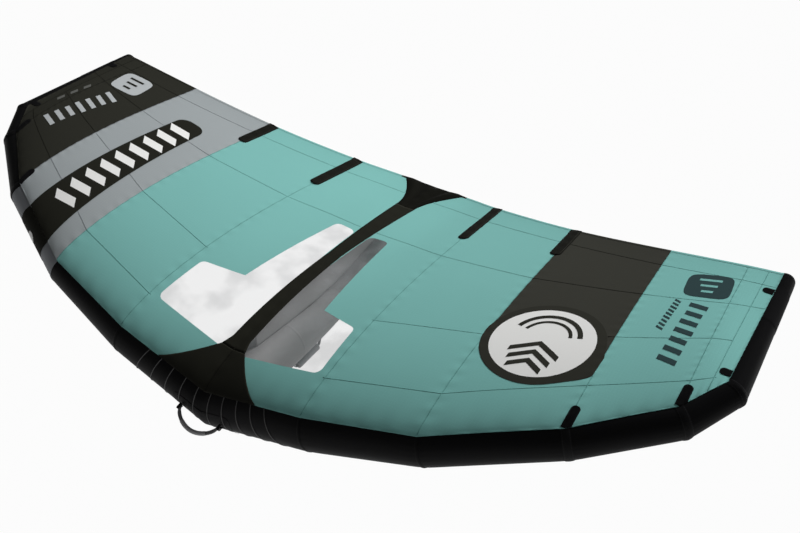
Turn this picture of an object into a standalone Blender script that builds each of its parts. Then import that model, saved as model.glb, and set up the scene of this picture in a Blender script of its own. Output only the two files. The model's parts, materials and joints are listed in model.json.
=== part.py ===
# Wingfoil wing: an inflatable hand-held sail of the 4 square metre class.
# Right is +X, the leading edge faces -Y, and the origin is where a rider's hands hold it,
# midway between the two grips under the strut. All lengths are in metres.

import math

import bmesh
import bpy
import numpy as np
from mathutils import Matrix, Vector
from mathutils.geometry import delaunay_2d_cdt

# Leading edge tube: its axis runs from the nose (share 0) to the rear of the tip (share 1)
tip_reach = 1.453
nose_ahead = 0.605
nose_height = 0.136
tube_sweep = 1.063
tip_rise = 0.411
nose_radius = 0.094
kink_x_shares = (0.0, 0.267, 0.516, 0.768, 0.938, 1.0, 0.986)
kink_y_shares = (0.0, 0.013, 0.067, 0.201, 0.363, 0.484, 1.0)
kink_z_shares = (0.0, 0.228, 0.440, 0.692, 0.841, 0.951, 1.0)
kink_radius_shares = (1.0, 0.926, 0.797, 0.649, 0.561, 0.443, 0.329)
tip_dome_share = 0.7
sleeve_wall = 0.0012
bladder_wall = 0.0010
bladder_slack = 0.0020
strut_bladder_slack = 0.0005
tube_sides = 20

# Where the canopy is sewn to the tube: turned forward from its top, at each kink, in degrees
seam_turns = (38.0, 38.0, 36.0, 18.0, -6.0, -25.0, -16.0)

# Trailing edge, centre to tip, as shares of the way from the centre to the tip
tail_reach = 0.735
tail_height = 0.242
tail_u = (0.0, 0.45, 1.0, 2.0, 3.0, 4.0, 5.0)
tail_x_shares = (0.0, 0.110, 0.234, 0.492, 0.748, 0.926, 1.0)
tail_y_shares = (0.0, 0.069, 0.304, 0.647, 0.901, 0.999, 1.0)
tail_z_shares = (0.0, 0.050, 0.195, 0.475, 0.779, 0.958, 1.0)

# Canopy: its camber at each chord seam, and how that is spread along the chord
root_camber = 0.104
camber_shares = (1.0, 0.770, 0.615, 0.385, 0.270, 0.0)
camber_front_power = 0.7
camber_rear_power = 1.2
chord_share_lines = (0.0, 0.012, 0.035, 0.07, 0.12, 0.19, 0.30, 0.44, 0.60, 0.75, 0.88, 1.0)
span_line_share = 0.25
cloth = 0.0012
film = 0.0008
hem_width = 0.012
hem_thickness = 0.0024

# Clear film windows beside the centre band, set back from the nose seam
window_setback = 0.135
window_wide_length = 0.210
window_long_length = 0.740
window_seam_margin = 0.031
window_rear_margin = 0.038
window_neck_front = 0.172
window_neck_rear = 0.116
window_front_skew = 0.025
window_step_skew = 0.042
window_corner = 0.024
window_point_spacing = 0.088

# Centre band over the strut, its nose patch and its tail fan
band_half_front = 0.036
band_half_middle = 0.026
band_half_rear = 0.042
band_middle_share = 0.55
fan_length = 0.235
fan_half_width = 0.156
fan_bend_power = 1.8
patch_half_width = 0.216
patch_bend_power = 1.5

# Trailing edge battens in their pockets, on the first and second chord seams
pocket_length = 0.300
outer_pocket_length = 0.205
pocket_width = 0.043
pocket_cloth = 0.0012
batten_width = 0.024
batten_thickness = 0.0022
batten_room = 0.0006
batten_end_room = 0.008
pocket_point_spacing = 0.100

# Reinforcing tabs that reach over the canopy at the outer kinks
tab_length = 0.072
tab_width = 0.027
tab_thickness = 0.0012
tab_seams = (3.0, 4.0)
tip_tab_length = 0.034
tip_tab_shares = (0.058, 0.80)

# Strut under the centre line: radius and axis height from the front to the tail
strut_front_overlap = 0.050
strut_tail_setback = 0.276
strut_front_radius = 0.086
strut_tail_radius = 0.038
strut_stations = (0.0, 0.12, 0.27, 0.42, 0.57, 0.72, 0.86, 1.0)
strut_radius_shares = (1.0, 0.96, 0.84, 0.68, 0.56, 0.42, 0.24, 0.0)
strut_sag = 0.012
strut_sag_shares = (0.0, 0.3, 0.8, 1.0, 0.7, 0.0, 0.0, 0.0)
web_tail_height = 0.0022
strut_rise_shares = (0.0, 0.0, 0.0, 0.0, 0.07, 0.32, 0.66, 1.0)
web_thickness = 0.0020
web_setback = 0.150

# Grips under the strut, front then rear, and the handle under the nose
strut_patch_front = 0.300
strut_patch_overhang = 0.055
strut_patch_turn = 32.0
front_grip_ahead = 0.160
rear_grip_behind = 0.130
strut_grip_length = 0.190
strut_grip_drop = 0.056
leash_loop_setback = 0.129
leash_loop_length = 0.046
leash_loop_drop = 0.030
leash_loop_radius = 0.0030
strap_radius = 0.0045
strut_pad_radius = 0.0150
strut_pad_length = 0.120
pad_bevel_share = 0.4
strut_grip_slope_share = 0.45
leash_loop_slope_share = 0.2
strap_bend_share = 2.5
leash_bend_share = 2.0
nose_grip_turn = 102.0
nose_grip_length = 0.156
nose_grip_drop = 0.046
nose_grip_lean = 56.0
nose_pad_radius = 0.0075
nose_pad_share = 0.50
nose_grip_along_power = 1.05
nose_grip_down_power = 1.35
nose_grip_steps = 16
nose_patch_half_width = 0.120
nose_patch_turn = 24.0
ear_length = 0.022
ear_width = 0.016
ear_height = 0.009
strap_end = 0.011

# Inflation valve in the tube and the air hose from the tube to the strut
valve_u = 0.52
valve_turn = -78.0
valve_flange_radius = 0.024
valve_flange_thickness = 0.003
valve_stem_radius = 0.0125
valve_stem_depth = 0.016
valve_neck_radius = 0.015
valve_neck_height = 0.010
valve_bore_radius = 0.008
valve_bore_depth = 0.011
cap_radius = 0.0185
cap_thickness = 0.005
cap_lug_width = 0.010
cap_lug_reach = 0.004
cap_lug_root = 0.001
cap_top_share = 0.8
cap_side_share = 0.6
hose_u = 0.38
hose_turn = -95.0
hose_radius = 0.008
hose_wall = 0.0015
hose_port_radius = 0.0050
hose_strut_share = 0.27
hose_lead = 0.0275
hose_bend = 0.022
clip_length = 0.016
clip_wall = 0.0045
clip_slot = 0.006

# Clearances
gap = 0.0003
layer_gap = 0.0006
seam_slack_share = 1.2
sleeve_slit = 0.0008
tube_relief = 0.0016
overrun = 0.004
weld = 0.00005

# How finely the canopy's surface is worked out, in seam numbers and shares of the chord
normal_step_share = 0.01
search_step_share = 1.5
search_rounds = 24
plan_tolerance_share = 0.0000001

parts = None
cutters = None


def start_scene():
    global parts, cutters
    for item in list(bpy.data.objects):
        bpy.data.objects.remove(item, do_unlink=True)
    parts = bpy.data.collections.new("wingfoil_wing")
    cutters = bpy.data.collections.new("cutters")
    bpy.context.scene.collection.children.link(parts)
    bpy.context.scene.collection.children.link(cutters)


def material(name, colour, roughness, metallic=0.0, alpha=1.0):
    made = bpy.data.materials.get(name)
    if made:
        return made
    made = bpy.data.materials.new(name)
    made.use_nodes = True
    shader = made.node_tree.nodes["Principled BSDF"]
    shader.inputs["Base Color"].default_value = (*colour, 1.0)
    shader.inputs["Roughness"].default_value = roughness
    shader.inputs["Metallic"].default_value = metallic
    shader.inputs["Alpha"].default_value = alpha
    return made


def tube_cloth():
    return material("tube_cloth", (0.010, 0.010, 0.011), 0.55)


def black_cloth():
    return material("black_cloth", (0.022, 0.022, 0.017), 0.6)


def grey_cloth():
    return material("grey_cloth", (0.35, 0.38, 0.40), 0.6)


def teal_cloth():
    return material("teal_cloth", (0.20, 0.46, 0.43), 0.6)


def clear_film():
    return material("clear_film", (0.80, 0.82, 0.83), 0.15, alpha=0.35)


def bladder_film():
    return material("bladder_film", (0.62, 0.66, 0.68), 0.35)


def webbing():
    return material("webbing", (0.015, 0.015, 0.015), 0.75)


def foam():
    return material("foam", (0.03, 0.03, 0.03), 0.85)


def moulded_plastic():
    return material("moulded_plastic", (0.02, 0.02, 0.02), 0.4)


def fibreglass():
    return material("fibreglass", (0.55, 0.56, 0.50), 0.45)


def add_object(name, mesh, look, collection=None):
    made = bpy.data.objects.new(name, mesh)
    if look:
        mesh.materials.append(look)
    (collection or parts).objects.link(made)
    return made


def mesh_from(name, points, faces):
    mesh = bpy.data.meshes.new(name)
    mesh.from_pydata([tuple(map(float, p)) for p in points], [], faces)
    mesh.update()
    return mesh


def shade(made, sharp_angle=40.0):
    made.data.shade_smooth()
    made.data.set_sharp_from_angle(angle=math.radians(sharp_angle))


def add_wall(made, thickness, outward):
    shell = made.modifiers.new("wall", "SOLIDIFY")
    shell.thickness = thickness
    shell.offset = 1.0 if outward else -1.0
    shell.use_even_offset = True
    return shell


def cut(made, cutter, operation="DIFFERENCE"):
    knife = made.modifiers.new("cut", "BOOLEAN")
    knife.operation = operation
    knife.object = cutter
    knife.solver = "EXACT"


def hide_cutter(made):
    made.hide_render = True
    made.display_type = "WIRE"


def unit(v):
    v = np.asarray(v, float)
    return v / np.linalg.norm(v)


# The tube's kinks, and a frame at each: side points out of the wing, up is square to it
def tube_kinks():
    x = tip_reach * np.array(kink_x_shares)
    y = -nose_ahead + tube_sweep * np.array(kink_y_shares)
    z = nose_height + tip_rise * np.array(kink_z_shares)
    return np.stack([x, y, z], axis=1), nose_radius * np.array(kink_radius_shares)


kink_points, kink_radii = tube_kinks()


def kink_frames():
    runs = np.diff(kink_points, axis=0)
    runs /= np.linalg.norm(runs, axis=1)[:, None]
    along = [np.array([1.0, 0.0, 0.0])]
    along += [unit(a + b) for a, b in zip(runs[:-1], runs[1:])]
    along.append(runs[-1])
    frames = []
    for t in along:
        side = unit(np.cross(t, (0.0, 0.0, 1.0)))
        frames.append((t, side, np.cross(side, t)))
    return frames


frames_at_kinks = kink_frames()


def ring_point(index, turn, lift, shift=0.0):
    t, side, up = frames_at_kinks[index]
    reach = kink_radii[index] + lift
    return kink_points[index] + t * shift + reach * (up * math.cos(turn) + side * math.sin(turn))


# A point on the tube: u counts kinks from the nose, turn runs forward from the top
def tube_point(u, turn, lift=0.0):
    index = min(int(abs(u)), len(kink_radii) - 2)
    part = abs(u) - index
    point = ring_point(index, turn, lift) * (1.0 - part) + ring_point(index + 1, turn, lift) * part
    return point * np.array([-1.0, 1.0, 1.0]) if u < 0 else point


def tube_direction(u, turn):
    return unit(tube_point(u, turn, nose_radius) - tube_point(u, turn))


def tube_run(u):
    step = span_line_share / 2.0
    return unit(tube_point(u + step, 0.0) - tube_point(u - step, 0.0))


def seam_point(u):
    kinks = np.arange(len(seam_turns))
    turn = math.radians(float(np.interp(abs(u), kinks, seam_turns)))
    return tube_point(u, turn, gap)


def tail_point(u):
    tip = seam_point(len(kink_radii) - 1)
    x = tip[0] * np.interp(abs(u), tail_u, tail_x_shares)
    y = tail_reach + (tip[1] - tail_reach) * np.interp(abs(u), tail_u, tail_y_shares)
    z = tail_height + (tip[2] - tail_height) * np.interp(abs(u), tail_u, tail_z_shares)
    return np.array([math.copysign(x, u), y, z])


def camber(t):
    peak = camber_front_power / (camber_front_power + camber_rear_power)
    front = (t / peak) ** camber_front_power
    return front * ((1.0 - t) / (1.0 - peak)) ** camber_rear_power


# Underside of the canopy: u counts chord seams from the centre, t runs nose to trailing edge
def cloth_point(u, t):
    t = min(max(t, 0.0), 1.0)
    height = root_camber * np.interp(abs(u), range(len(camber_shares)), camber_shares)
    point = seam_point(u) * (1.0 - t) + tail_point(u) * t
    point[2] += height * camber(t)
    return point if t == 0.0 else off_the_tube(point, u)


# Cloth that would pass through the tube beside it, or through the tip's, lies on it instead
def off_the_tube(point, u):
    tip = len(kink_points) - 2
    own = min(int(abs(u)), tip)
    mirror = np.array([math.copysign(1.0, u), 1.0, 1.0])
    for section in ([own] if own < tip - 1 else sorted({own, tip})):
        start, end = kink_points[section] * mirror, kink_points[section + 1] * mirror
        run = unit(end - start)
        along = float(np.dot(point - start, run))
        if section != own and along < 0.0:
            continue
        share = min(max(along / float(np.linalg.norm(end - start)), 0.0), 1.0)
        radius = kink_radii[section] * (1.0 - share) + kink_radii[section + 1] * share
        away = point - start - run * along
        short = radius + gap + tube_relief - float(np.linalg.norm(away))
        if short > 0.0:
            point = point + unit(away) * short
    return point


# Square to the canopy, from points a small way apart in both directions
def cloth_normal(u, t):
    step = normal_step_share
    near = min(max(t, step), 1.0 - step)
    along = cloth_point(u, near + step) - cloth_point(u, near - step)
    across = cloth_point(u + step, near) - cloth_point(u - step, near)
    return unit(np.cross(across, along))


# The place on the canopy, as (u, t), that lies over the plan point (x, y)
def over(x, y):
    u = x / panel_width()
    t = 0.5
    for _ in range(search_rounds):
        front = seam_point(u)
        rear = tail_point(u)
        t = (y - front[1]) / (rear[1] - front[1])
        reached = front[0] * (1.0 - t) + rear[0] * t
        u += (x - reached) / (panel_width() * search_step_share)
    return (u, t)


def panel_width():
    return tip_reach / (len(camber_shares) - 1)


def chord_length(u):
    return float(np.linalg.norm(tail_point(u) - seam_point(u)))


def hem_start(u):
    return 1.0 - hem_width / chord_length(u)


# Flat triangles inside an outline in (u, t), creased along the canopy's own grid lines
def plan_triangles(outline):
    low_u = min(p[0] for p in outline)
    high_u = max(p[0] for p in outline)
    points = [Vector(p) for p in outline]
    count = len(points)
    edges = [(i, (i + 1) % count) for i in range(count)]
    rows = [(low_u - 1.0, t, high_u + 1.0, t) for t in chord_share_lines[1:-1]]
    rows += [(u, -1.0, u, 2.0) for u in span_grid() if low_u < u < high_u]
    for a, b, c, d in rows:
        points += [Vector((a, b)), Vector((c, d))]
        edges.append((len(points) - 2, len(points) - 1))
    made, _, faces, _, _, _ = delaunay_2d_cdt(points, edges, [], 0, plan_tolerance_share)
    kept = []
    for face in faces:
        middle = sum((made[i] for i in face), Vector((0.0, 0.0))) / len(face)
        if inside(middle, outline):
            kept.append(tuple(face))
    used = sorted({i for face in kept for i in face})
    renumber = {old: new for new, old in enumerate(used)}
    return [made[i] for i in used], [tuple(renumber[i] for i in face) for face in kept]


def inside(point, outline):
    hit = False
    for a, b in zip(outline, outline[1:] + outline[:1]):
        if (a[1] > point[1]) != (b[1] > point[1]):
            crossing = a[0] + (point[1] - a[1]) * (b[0] - a[0]) / (b[1] - a[1])
            if point[0] < crossing:
                hit = not hit
    return hit


# A piece of cloth cut to an outline and laid over the canopy's underside surface
def cloth_piece(name, outline, lift, thickness, look, collection=None):
    flat, faces = plan_triangles(outline)
    points = [cloth_point(p[0], p[1]) + lift * cloth_normal(p[0], p[1]) for p in flat]
    mesh = mesh_from(name, points, faces)
    made = add_object(name, mesh, look, collection)
    add_wall(made, thickness, outward=True)
    return made


def chord_line(u, start, end):
    inner = [t for t in chord_share_lines if min(start, end) < t < max(start, end)]
    if end < start:
        inner.reverse()
    return [(u, t) for t in [start, *inner, end]]


# The canopy's grid lines that run chordwise, as values of u from tip to tip
def span_grid():
    last = len(camber_shares) - 1
    lines = {k * span_line_share for k in range(round(last / span_line_share) + 1)} | set(tail_u)
    return sorted(lines | {-u for u in lines})


def span_line(t_at, start, end):
    inner = [u for u in span_grid() if min(start, end) < u < max(start, end)]
    if end < start:
        inner.reverse()
    return [(u, t_at(u)) for u in [start, *inner, end]]


def front_edge(u):
    return 0.0


def flip(outline):
    return [(-u, t) for u, t in reversed(outline)]


def sides():
    return (("right", 1.0), ("left", -1.0))


def panel_looks():
    return {
        "right": (teal_cloth(), teal_cloth(), teal_cloth(), teal_cloth(), teal_cloth()),
        "left": (teal_cloth(), teal_cloth(), grey_cloth(), black_cloth(), black_cloth()),
    }


# Half a seam's clearance, counted in panel widths
def seam_slit():
    return gap / panel_width() * seam_slack_share


def outer_panel_outline(index):
    slit = seam_slit()
    inner = index + slit
    outer = index + 1 - (slit if index < len(camber_shares) - 2 else 0.0)
    outline = span_line(front_edge, inner, outer)
    outline += chord_line(outer, 0.0, hem_start(outer))[1:]
    outline += span_line(hem_start, outer, inner)[1:]
    outline += chord_line(inner, hem_start(inner), 0.0)[1:-1]
    return outline


# The centre band runs between these two places, fore and aft
def band_ends():
    front = seam_point(0.0)[1] + window_setback + window_corner / 2.0
    return front, tail_reach - fan_length


# Half widths of the black centre from nose to tail: the patch, the band, then the fan
def centre_table(steps=8):
    front, rear = band_ends()
    nose = seam_point(0.5)[1]
    table = []
    for k in range(steps):
        part = k / steps
        half = patch_half_width + (band_half_front - patch_half_width) * part ** (1.0 / patch_bend_power)
        table.append((nose + (front - nose) * part, half))
    for k in range(steps):
        half = np.interp(k / steps, (0.0, band_middle_share, 1.0),
                         (band_half_front, band_half_middle, band_half_rear))
        table.append((front + (rear - front) * k / steps, float(half)))
    for k in range(steps + 1):
        part = k / steps
        half = band_half_rear + (fan_half_width - band_half_rear) * part ** fan_bend_power
        table.append((rear + (tail_reach - rear) * part, half))
    return table


def centre_half(y):
    places, halves = zip(*centre_table())
    return float(np.interp(y, places, halves))


# Border of the black centre between two places, through every point of its table there
def centre_edge(clearance, start, end):
    inner = [y for y, _ in centre_table() if min(start, end) < y < max(start, end)]
    if end < start:
        inner.reverse()
    return [(centre_half(y) + clearance, y) for y in [start, *inner, end]]


def fan_edge(clearance):
    return centre_edge(clearance, band_ends()[1], tail_reach)


def patch_edge(clearance):
    return centre_edge(clearance, seam_point(0.5)[1], band_ends()[0])


def round_corner(before, corner, after, radius, steps=3):
    a = unit(np.subtract(before, corner))
    b = unit(np.subtract(after, corner))
    centre_way = unit(a + b)
    half = math.acos(float(np.clip(np.dot(a, b), -1.0, 1.0))) / 2.0
    centre = np.array(corner) + centre_way * radius / math.sin(half)
    start = np.array(corner) + a * radius / math.tan(half) - centre
    end = np.array(corner) + b * radius / math.tan(half) - centre
    made = []
    for k in range(steps + 1):
        way = unit(start * (1.0 - k / steps) + end * (k / steps))
        made.append(tuple(centre + way * radius))
    return made


# How far out the first chord seam lies at a place along it
def first_seam_x(y):
    front = seam_point(1.0)
    rear = tail_point(1.0)
    return float(np.interp(y, (front[1], rear[1]), (front[0], rear[0])))


# Window outline in plan, from the band round the outer corners and back to the band
def window_edge(grow):
    nose = seam_point(0.0)[1] + window_setback
    wide = nose + window_wide_length
    tail = nose + window_long_length
    corners = [
        (0.0, nose - grow),
        (first_seam_x(nose) - window_seam_margin + grow, nose + window_front_skew - grow),
        (first_seam_x(wide) - window_rear_margin + grow, wide + window_front_skew + grow),
        (window_neck_front + grow, wide + window_front_skew + window_step_skew + grow),
        (window_neck_rear + grow, tail + grow),
        (0.0, tail + grow),
    ]
    edge = [corners[0]]
    for before, corner, after in zip(corners[:-2], corners[1:-1], corners[2:]):
        edge += round_corner(before, corner, after, window_corner)
    edge.append(corners[-1])
    return edge


def fill_in(edge, longest):
    made = [edge[0]]
    for a, b in zip(edge[:-1], edge[1:]):
        steps = max(1, math.ceil(math.dist(a, b) / longest))
        made += [(a[0] + (b[0] - a[0]) * k / steps, a[1] + (b[1] - a[1]) * k / steps)
                 for k in range(1, steps + 1)]
    return made


# The same edge, kept clear of the black centre and ending on its border
def trim_to_band(edge, clearance):
    kept = [p for p in edge if p[0] > centre_half(p[1]) + clearance]
    ends = []
    for inner, outer in ((edge[0], kept[0]), (edge[-1], kept[-1])):
        slope = (outer[1] - inner[1]) / (outer[0] - inner[0])
        x = inner[0]
        for _ in range(8):
            x = centre_half(inner[1] + slope * (x - inner[0])) + clearance
        ends.append((x, inner[1] + slope * (x - inner[0])))
    return [ends[0], *kept, ends[1]]


def window_outline():
    edge = trim_to_band(fill_in(window_edge(0.0), window_point_spacing), gap)
    back = centre_edge(gap, edge[-1][1], edge[0][1])[1:-1]
    return [over(x, y) for x, y in edge + back]


# Innermost panel: it goes round the window, and follows the patch, the band and the fan
def inner_panel_outline():
    outer = 1 - seam_slit()
    fan = [over(x, y) for x, y in fan_edge(gap)]
    edge = trim_to_band(fill_in(window_edge(gap), window_point_spacing), gap)
    patch = [over(x, y) for x, y in centre_edge(gap, seam_point(0.5)[1], edge[0][1])]
    before = [over(x, y) for x, y in centre_edge(gap, edge[-1][1], band_ends()[1])[1:-1]]
    window = [over(x, y) for x, y in edge]
    nose_u = patch[0][0]
    tail_end = [p for p in fan if p[1] < hem_start(p[0])]
    last_u = tail_end[-1][0] + (fan[-1][0] - tail_end[-1][0]) * 0.5
    outline = span_line(front_edge, nose_u, outer)
    outline += chord_line(outer, 0.0, hem_start(outer))[1:]
    outline += span_line(hem_start, outer, last_u)[1:]
    outline += list(reversed(tail_end))
    outline += list(reversed(before))
    outline += list(reversed(window))
    outline += list(reversed(patch[1:-1]))
    return outline


def make_canopy():
    looks = panel_looks()
    for side, way in sides():
        for index in range(len(camber_shares) - 1):
            outline = inner_panel_outline() if index == 0 else outer_panel_outline(index)
            outline = outline if way > 0 else flip(outline)
            look = looks[side][index]
            cloth_piece(f"canopy_panel_{index + 1}_{side}", outline, 0.0, cloth, look)
        outline = window_outline()
        outline = outline if way > 0 else flip(outline)
        cloth_piece(f"window_{side}", outline, 0.0, film, clear_film())


def mirrored(edge):
    points = [over(x, y) for x, y in edge]
    return points, [(-u, t) for u, t in reversed(points)]


def make_centre_pieces():
    front, rear = band_ends()
    right, left = mirrored(centre_edge(0.0, front + gap, rear - gap))
    cloth_piece("strut_band", right + left, 0.0, cloth, black_cloth())
    right, left = mirrored(patch_edge(0.0))
    right[0] = (right[0][0], 0.0)
    left[-1] = (left[-1][0], 0.0)
    nose = span_line(front_edge, left[-1][0], right[0][0])[1:-1]
    cloth_piece("nose_patch", right + left + nose, 0.0, cloth, black_cloth())
    right, left = mirrored([p for p in fan_edge(0.0)])
    kept = [p for p in right if p[1] < hem_start(p[0])]
    kept.append((kept[-1][0], hem_start(kept[-1][0])))
    tail = span_line(hem_start, kept[-1][0], -kept[-1][0])[1:-1]
    cloth_piece("tail_fan", kept + tail + flip(kept), 0.0, cloth, black_cloth())


def rear_edge(u):
    return 1.0


def hem_front(u):
    return hem_start(u) + gap / chord_length(u)


# One folded tape from tip to tip along the trailing edge
def make_hem():
    tip = len(camber_shares) - 1 - seam_slit()
    outline = span_line(hem_front, -tip, tip)
    outline += span_line(rear_edge, tip, -tip)
    cloth_piece("trailing_edge_hem", outline, 0.0, hem_thickness, black_cloth())


def pocket_outline(u, length, width, rear_t, round_steps=5):
    half = width / 2.0
    rear = cloth_point(u, rear_t)
    front = cloth_point(u, 0.5)
    way = unit((front - rear)[:2])
    across = np.array([-way[1], way[0]])
    middle = rear[:2] + way * (length - half)
    edge = [rear[:2] - across * half]
    for k in range(round_steps + 1):
        turn = math.pi * k / round_steps
        edge.append(middle - across * half * math.cos(turn) + way * half * math.sin(turn))
    edge.append(rear[:2] + across * half)
    places = [over(float(x), float(y)) for x, y in fill_in(edge, pocket_point_spacing)]
    return places if across[0] * way[1] < 0 else list(reversed(places))


def make_battens():
    floor = cloth + layer_gap
    for side, way in sides():
        for index, (seam, length) in enumerate(((1.0, pocket_length), (2.0, outer_pocket_length))):
            name = f"{'inner' if index == 0 else 'outer'}_batten"
            u = seam * way
            end = hem_start(u) - batten_end_room / chord_length(u)
            roof = batten_thickness + layer_gap
            outline = pocket_outline(u, length, pocket_width, end)
            pocket = cloth_piece(f"{name}_pocket_{side}", outline, floor, roof + pocket_cloth, black_cloth())
            inner = length - pocket_width / 2.0
            room_length = inner + hem_width + batten_end_room
            room = pocket_outline(u, room_length, batten_width + 2.0 * batten_room, 1.0)
            cavity = cloth_piece(f"{name}_room_{side}", room, floor - overrun / 2.0,
                                 roof + overrun / 2.0, None, cutters)
            hide_cutter(cavity)
            cut(pocket, cavity)
            rod = pocket_outline(u, inner - batten_room, batten_width, end)
            cloth_piece(f"{name}_{side}", rod, floor, batten_thickness, fibreglass())


# A round-ended tab from the canopy's border inwards
def tab_outline(u, start_t, way, length):
    half = tab_width / 2.0
    base = cloth_point(u, start_t)[:2]
    way = unit(way)
    across = np.array([-way[1], way[0]])
    end = base + way * (length - half)
    edge = [base - across * half]
    for k in range(5):
        turn = math.pi * k / 4
        edge.append(end - across * half * math.cos(turn) + way * half * math.sin(turn))
    edge.append(base + across * half)
    places = [over(float(x), float(y)) for x, y in edge]
    limit = len(camber_shares) - 1
    outline = [(math.copysign(min(abs(a), limit), a), max(b, 0.0)) for a, b in places]
    return outline if signed_area(outline) > 0 else list(reversed(outline))


def make_tabs():
    floor = cloth + layer_gap
    tip = len(camber_shares) - 1
    for side, way in sides():
        for index, seam in enumerate(tab_seams):
            outline = tab_outline(seam * way, 0.0, (0.0, 1.0), tab_length)
            cloth_piece(f"kink_tab_{index + 1}_{side}", outline, floor, tab_thickness, black_cloth())
        for name, share in zip(("front", "rear"), tip_tab_shares):
            outline = tab_outline(tip * way, share, (-way, 0.0), tip_tab_length)
            cloth_piece(f"tip_tab_{name}_{side}", outline, floor + layer_gap, tab_thickness, black_cloth())


def signed_area(outline):
    total = 0.0
    for a, b in zip(outline, outline[1:] + outline[:1]):
        total += a[0] * b[1] - b[0] * a[1]
    return total / 2.0


# Skin lofted through rings of equal count; the first or last ring may close to a point
def loft(name, rings, look, close_end=False, close_start=False, collection=None):
    count = len(rings[0])
    points = [p for ring in rings for p in ring]
    faces = []
    for r in range(len(rings) - 1):
        for k in range(count):
            n = (k + 1) % count
            faces.append((r * count + k, (r + 1) * count + k, (r + 1) * count + n, r * count + n))
    if close_end:
        points.append(np.mean(rings[-1], axis=0))
        last = (len(rings) - 1) * count
        faces += [(last + k, len(points) - 1, last + (k + 1) % count) for k in range(count)]
    if close_start:
        points.append(np.mean(rings[0], axis=0))
        faces += [(k, (k + 1) % count, len(points) - 1) for k in range(count)]
    made = add_object(name, mesh_from(name, points, faces), look, collection)
    face_outward(made.data)
    return made


def face_outward(mesh):
    work = bmesh.new()
    work.from_mesh(mesh)
    bmesh.ops.recalc_face_normals(work, faces=work.faces)
    centre = sum((v.co for v in work.verts), Vector()) / len(work.verts)
    facing = sum(f.normal.dot(f.calc_center_median() - centre) * f.calc_area() for f in work.faces)
    if facing < 0:
        bmesh.ops.reverse_faces(work, faces=work.faces)
    work.to_mesh(mesh)
    work.free()
    mesh.update()


def kink_ring(index, lift, shift, way):
    turns = [2.0 * math.pi * k / tube_sides for k in range(tube_sides)]
    ring = [ring_point(index, turn, lift, shift) for turn in turns]
    return [p * np.array([way, 1.0, 1.0]) for p in ring]


def tip_dome(lift, way, steps=3):
    index = len(kink_radii) - 1
    depth = (kink_radii[index] + lift) * tip_dome_share
    rings = []
    for k in range(1, steps):
        turn = math.pi / 2.0 * k / steps
        shrink = (kink_radii[index] + lift) * (math.cos(turn) - 1.0)
        rings.append(kink_ring(index, lift + shrink, depth * math.sin(turn), way))
    return rings


def make_sleeves():
    centre = loft("le_sleeve_centre", [kink_ring(1, 0.0, -sleeve_slit / 2.0, -1.0),
                                       kink_ring(0, 0.0, 0.0, 1.0),
                                       kink_ring(1, 0.0, -sleeve_slit / 2.0, 1.0)], tube_cloth())
    add_wall(centre, sleeve_wall, outward=False)
    shade(centre, 60.0)
    last = len(kink_radii) - 2
    for side, way in sides():
        for index in range(1, last + 1):
            at_tip = index == last
            end_shift = 0.0 if at_tip else -sleeve_slit / 2.0
            rings = [kink_ring(index, 0.0, sleeve_slit / 2.0, way), kink_ring(index + 1, 0.0, end_shift, way)]
            if at_tip:
                rings += tip_dome(0.0, way)
            made = loft(f"le_sleeve_{index}_{side}", rings, tube_cloth(), close_end=at_tip)
            add_wall(made, sleeve_wall, outward=False)
            shade(made, 60.0)
    return centre


def make_le_bladder():
    lift = -sleeve_wall - bladder_slack
    right = [kink_ring(index, lift, 0.0, 1.0) for index in range(1, len(kink_radii))]
    right += tip_dome(lift, 1.0)
    left = [[p * np.array([-1.0, 1.0, 1.0]) for p in ring] for ring in reversed(right)]
    rings = left + [kink_ring(0, lift, 0.0, 1.0)] + right
    made = loft("le_bladder", rings, bladder_film(), close_end=True, close_start=True)
    add_wall(made, bladder_wall, outward=False)
    shade(made, 60.0)
    return made


def strut_start():
    return -nose_ahead + nose_radius - strut_front_overlap


def strut_length():
    return tail_reach - strut_tail_setback - strut_start()


# The strut's tail rises until only a low stretch of web is left between it and the canopy
def strut_tail_rise():
    roof = cloth_point(*over(0.0, strut_start() + strut_length()))[2]
    return roof - web_tail_height - strut_tail_radius - nose_height


# Strut axis and radius at a share of its length
def strut_at(share):
    sag = strut_sag * np.interp(share, strut_stations, strut_sag_shares)
    rise = strut_tail_rise() * np.interp(share, strut_stations, strut_rise_shares)
    radius_share = np.interp(share, strut_stations, strut_radius_shares)
    radius = strut_tail_radius + (strut_front_radius - strut_tail_radius) * radius_share
    y = strut_start() + strut_length() * share
    return np.array([0.0, y, nose_height - sag + rise]), float(radius)


def strut_ring(share, lift, shift=0.0, shrink=0.0):
    centre, radius = strut_at(share)
    reach = radius + lift - shrink
    turns = [2.0 * math.pi * k / tube_sides for k in range(tube_sides)]
    return [centre + np.array([reach * math.sin(a), shift, reach * math.cos(a)]) for a in turns]


def strut_point(share, turn, lift=0.0):
    centre, radius = strut_at(share)
    return centre + (radius + lift) * np.array([math.sin(turn), 0.0, math.cos(turn)])


def strut_share(y):
    return (y - strut_start()) / strut_length()


def strut_tail_dome(lift, steps=3):
    radius = strut_at(1.0)[1] + lift
    rings = []
    for k in range(1, steps):
        turn = math.pi / 2.0 * k / steps
        rings.append(strut_ring(1.0, lift, radius * math.sin(turn), radius * (1.0 - math.cos(turn))))
    return rings


# The leading edge tube, a little larger, that the strut's front end is trimmed to
def nose_cutter(name, lift):
    rings = [kink_ring(1, lift, 0.0, -1.0), kink_ring(0, lift, 0.0, 1.0), kink_ring(1, lift, 0.0, 1.0)]
    made = loft(name, rings, None, close_end=True, close_start=True, collection=cutters)
    hide_cutter(made)
    return made


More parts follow.
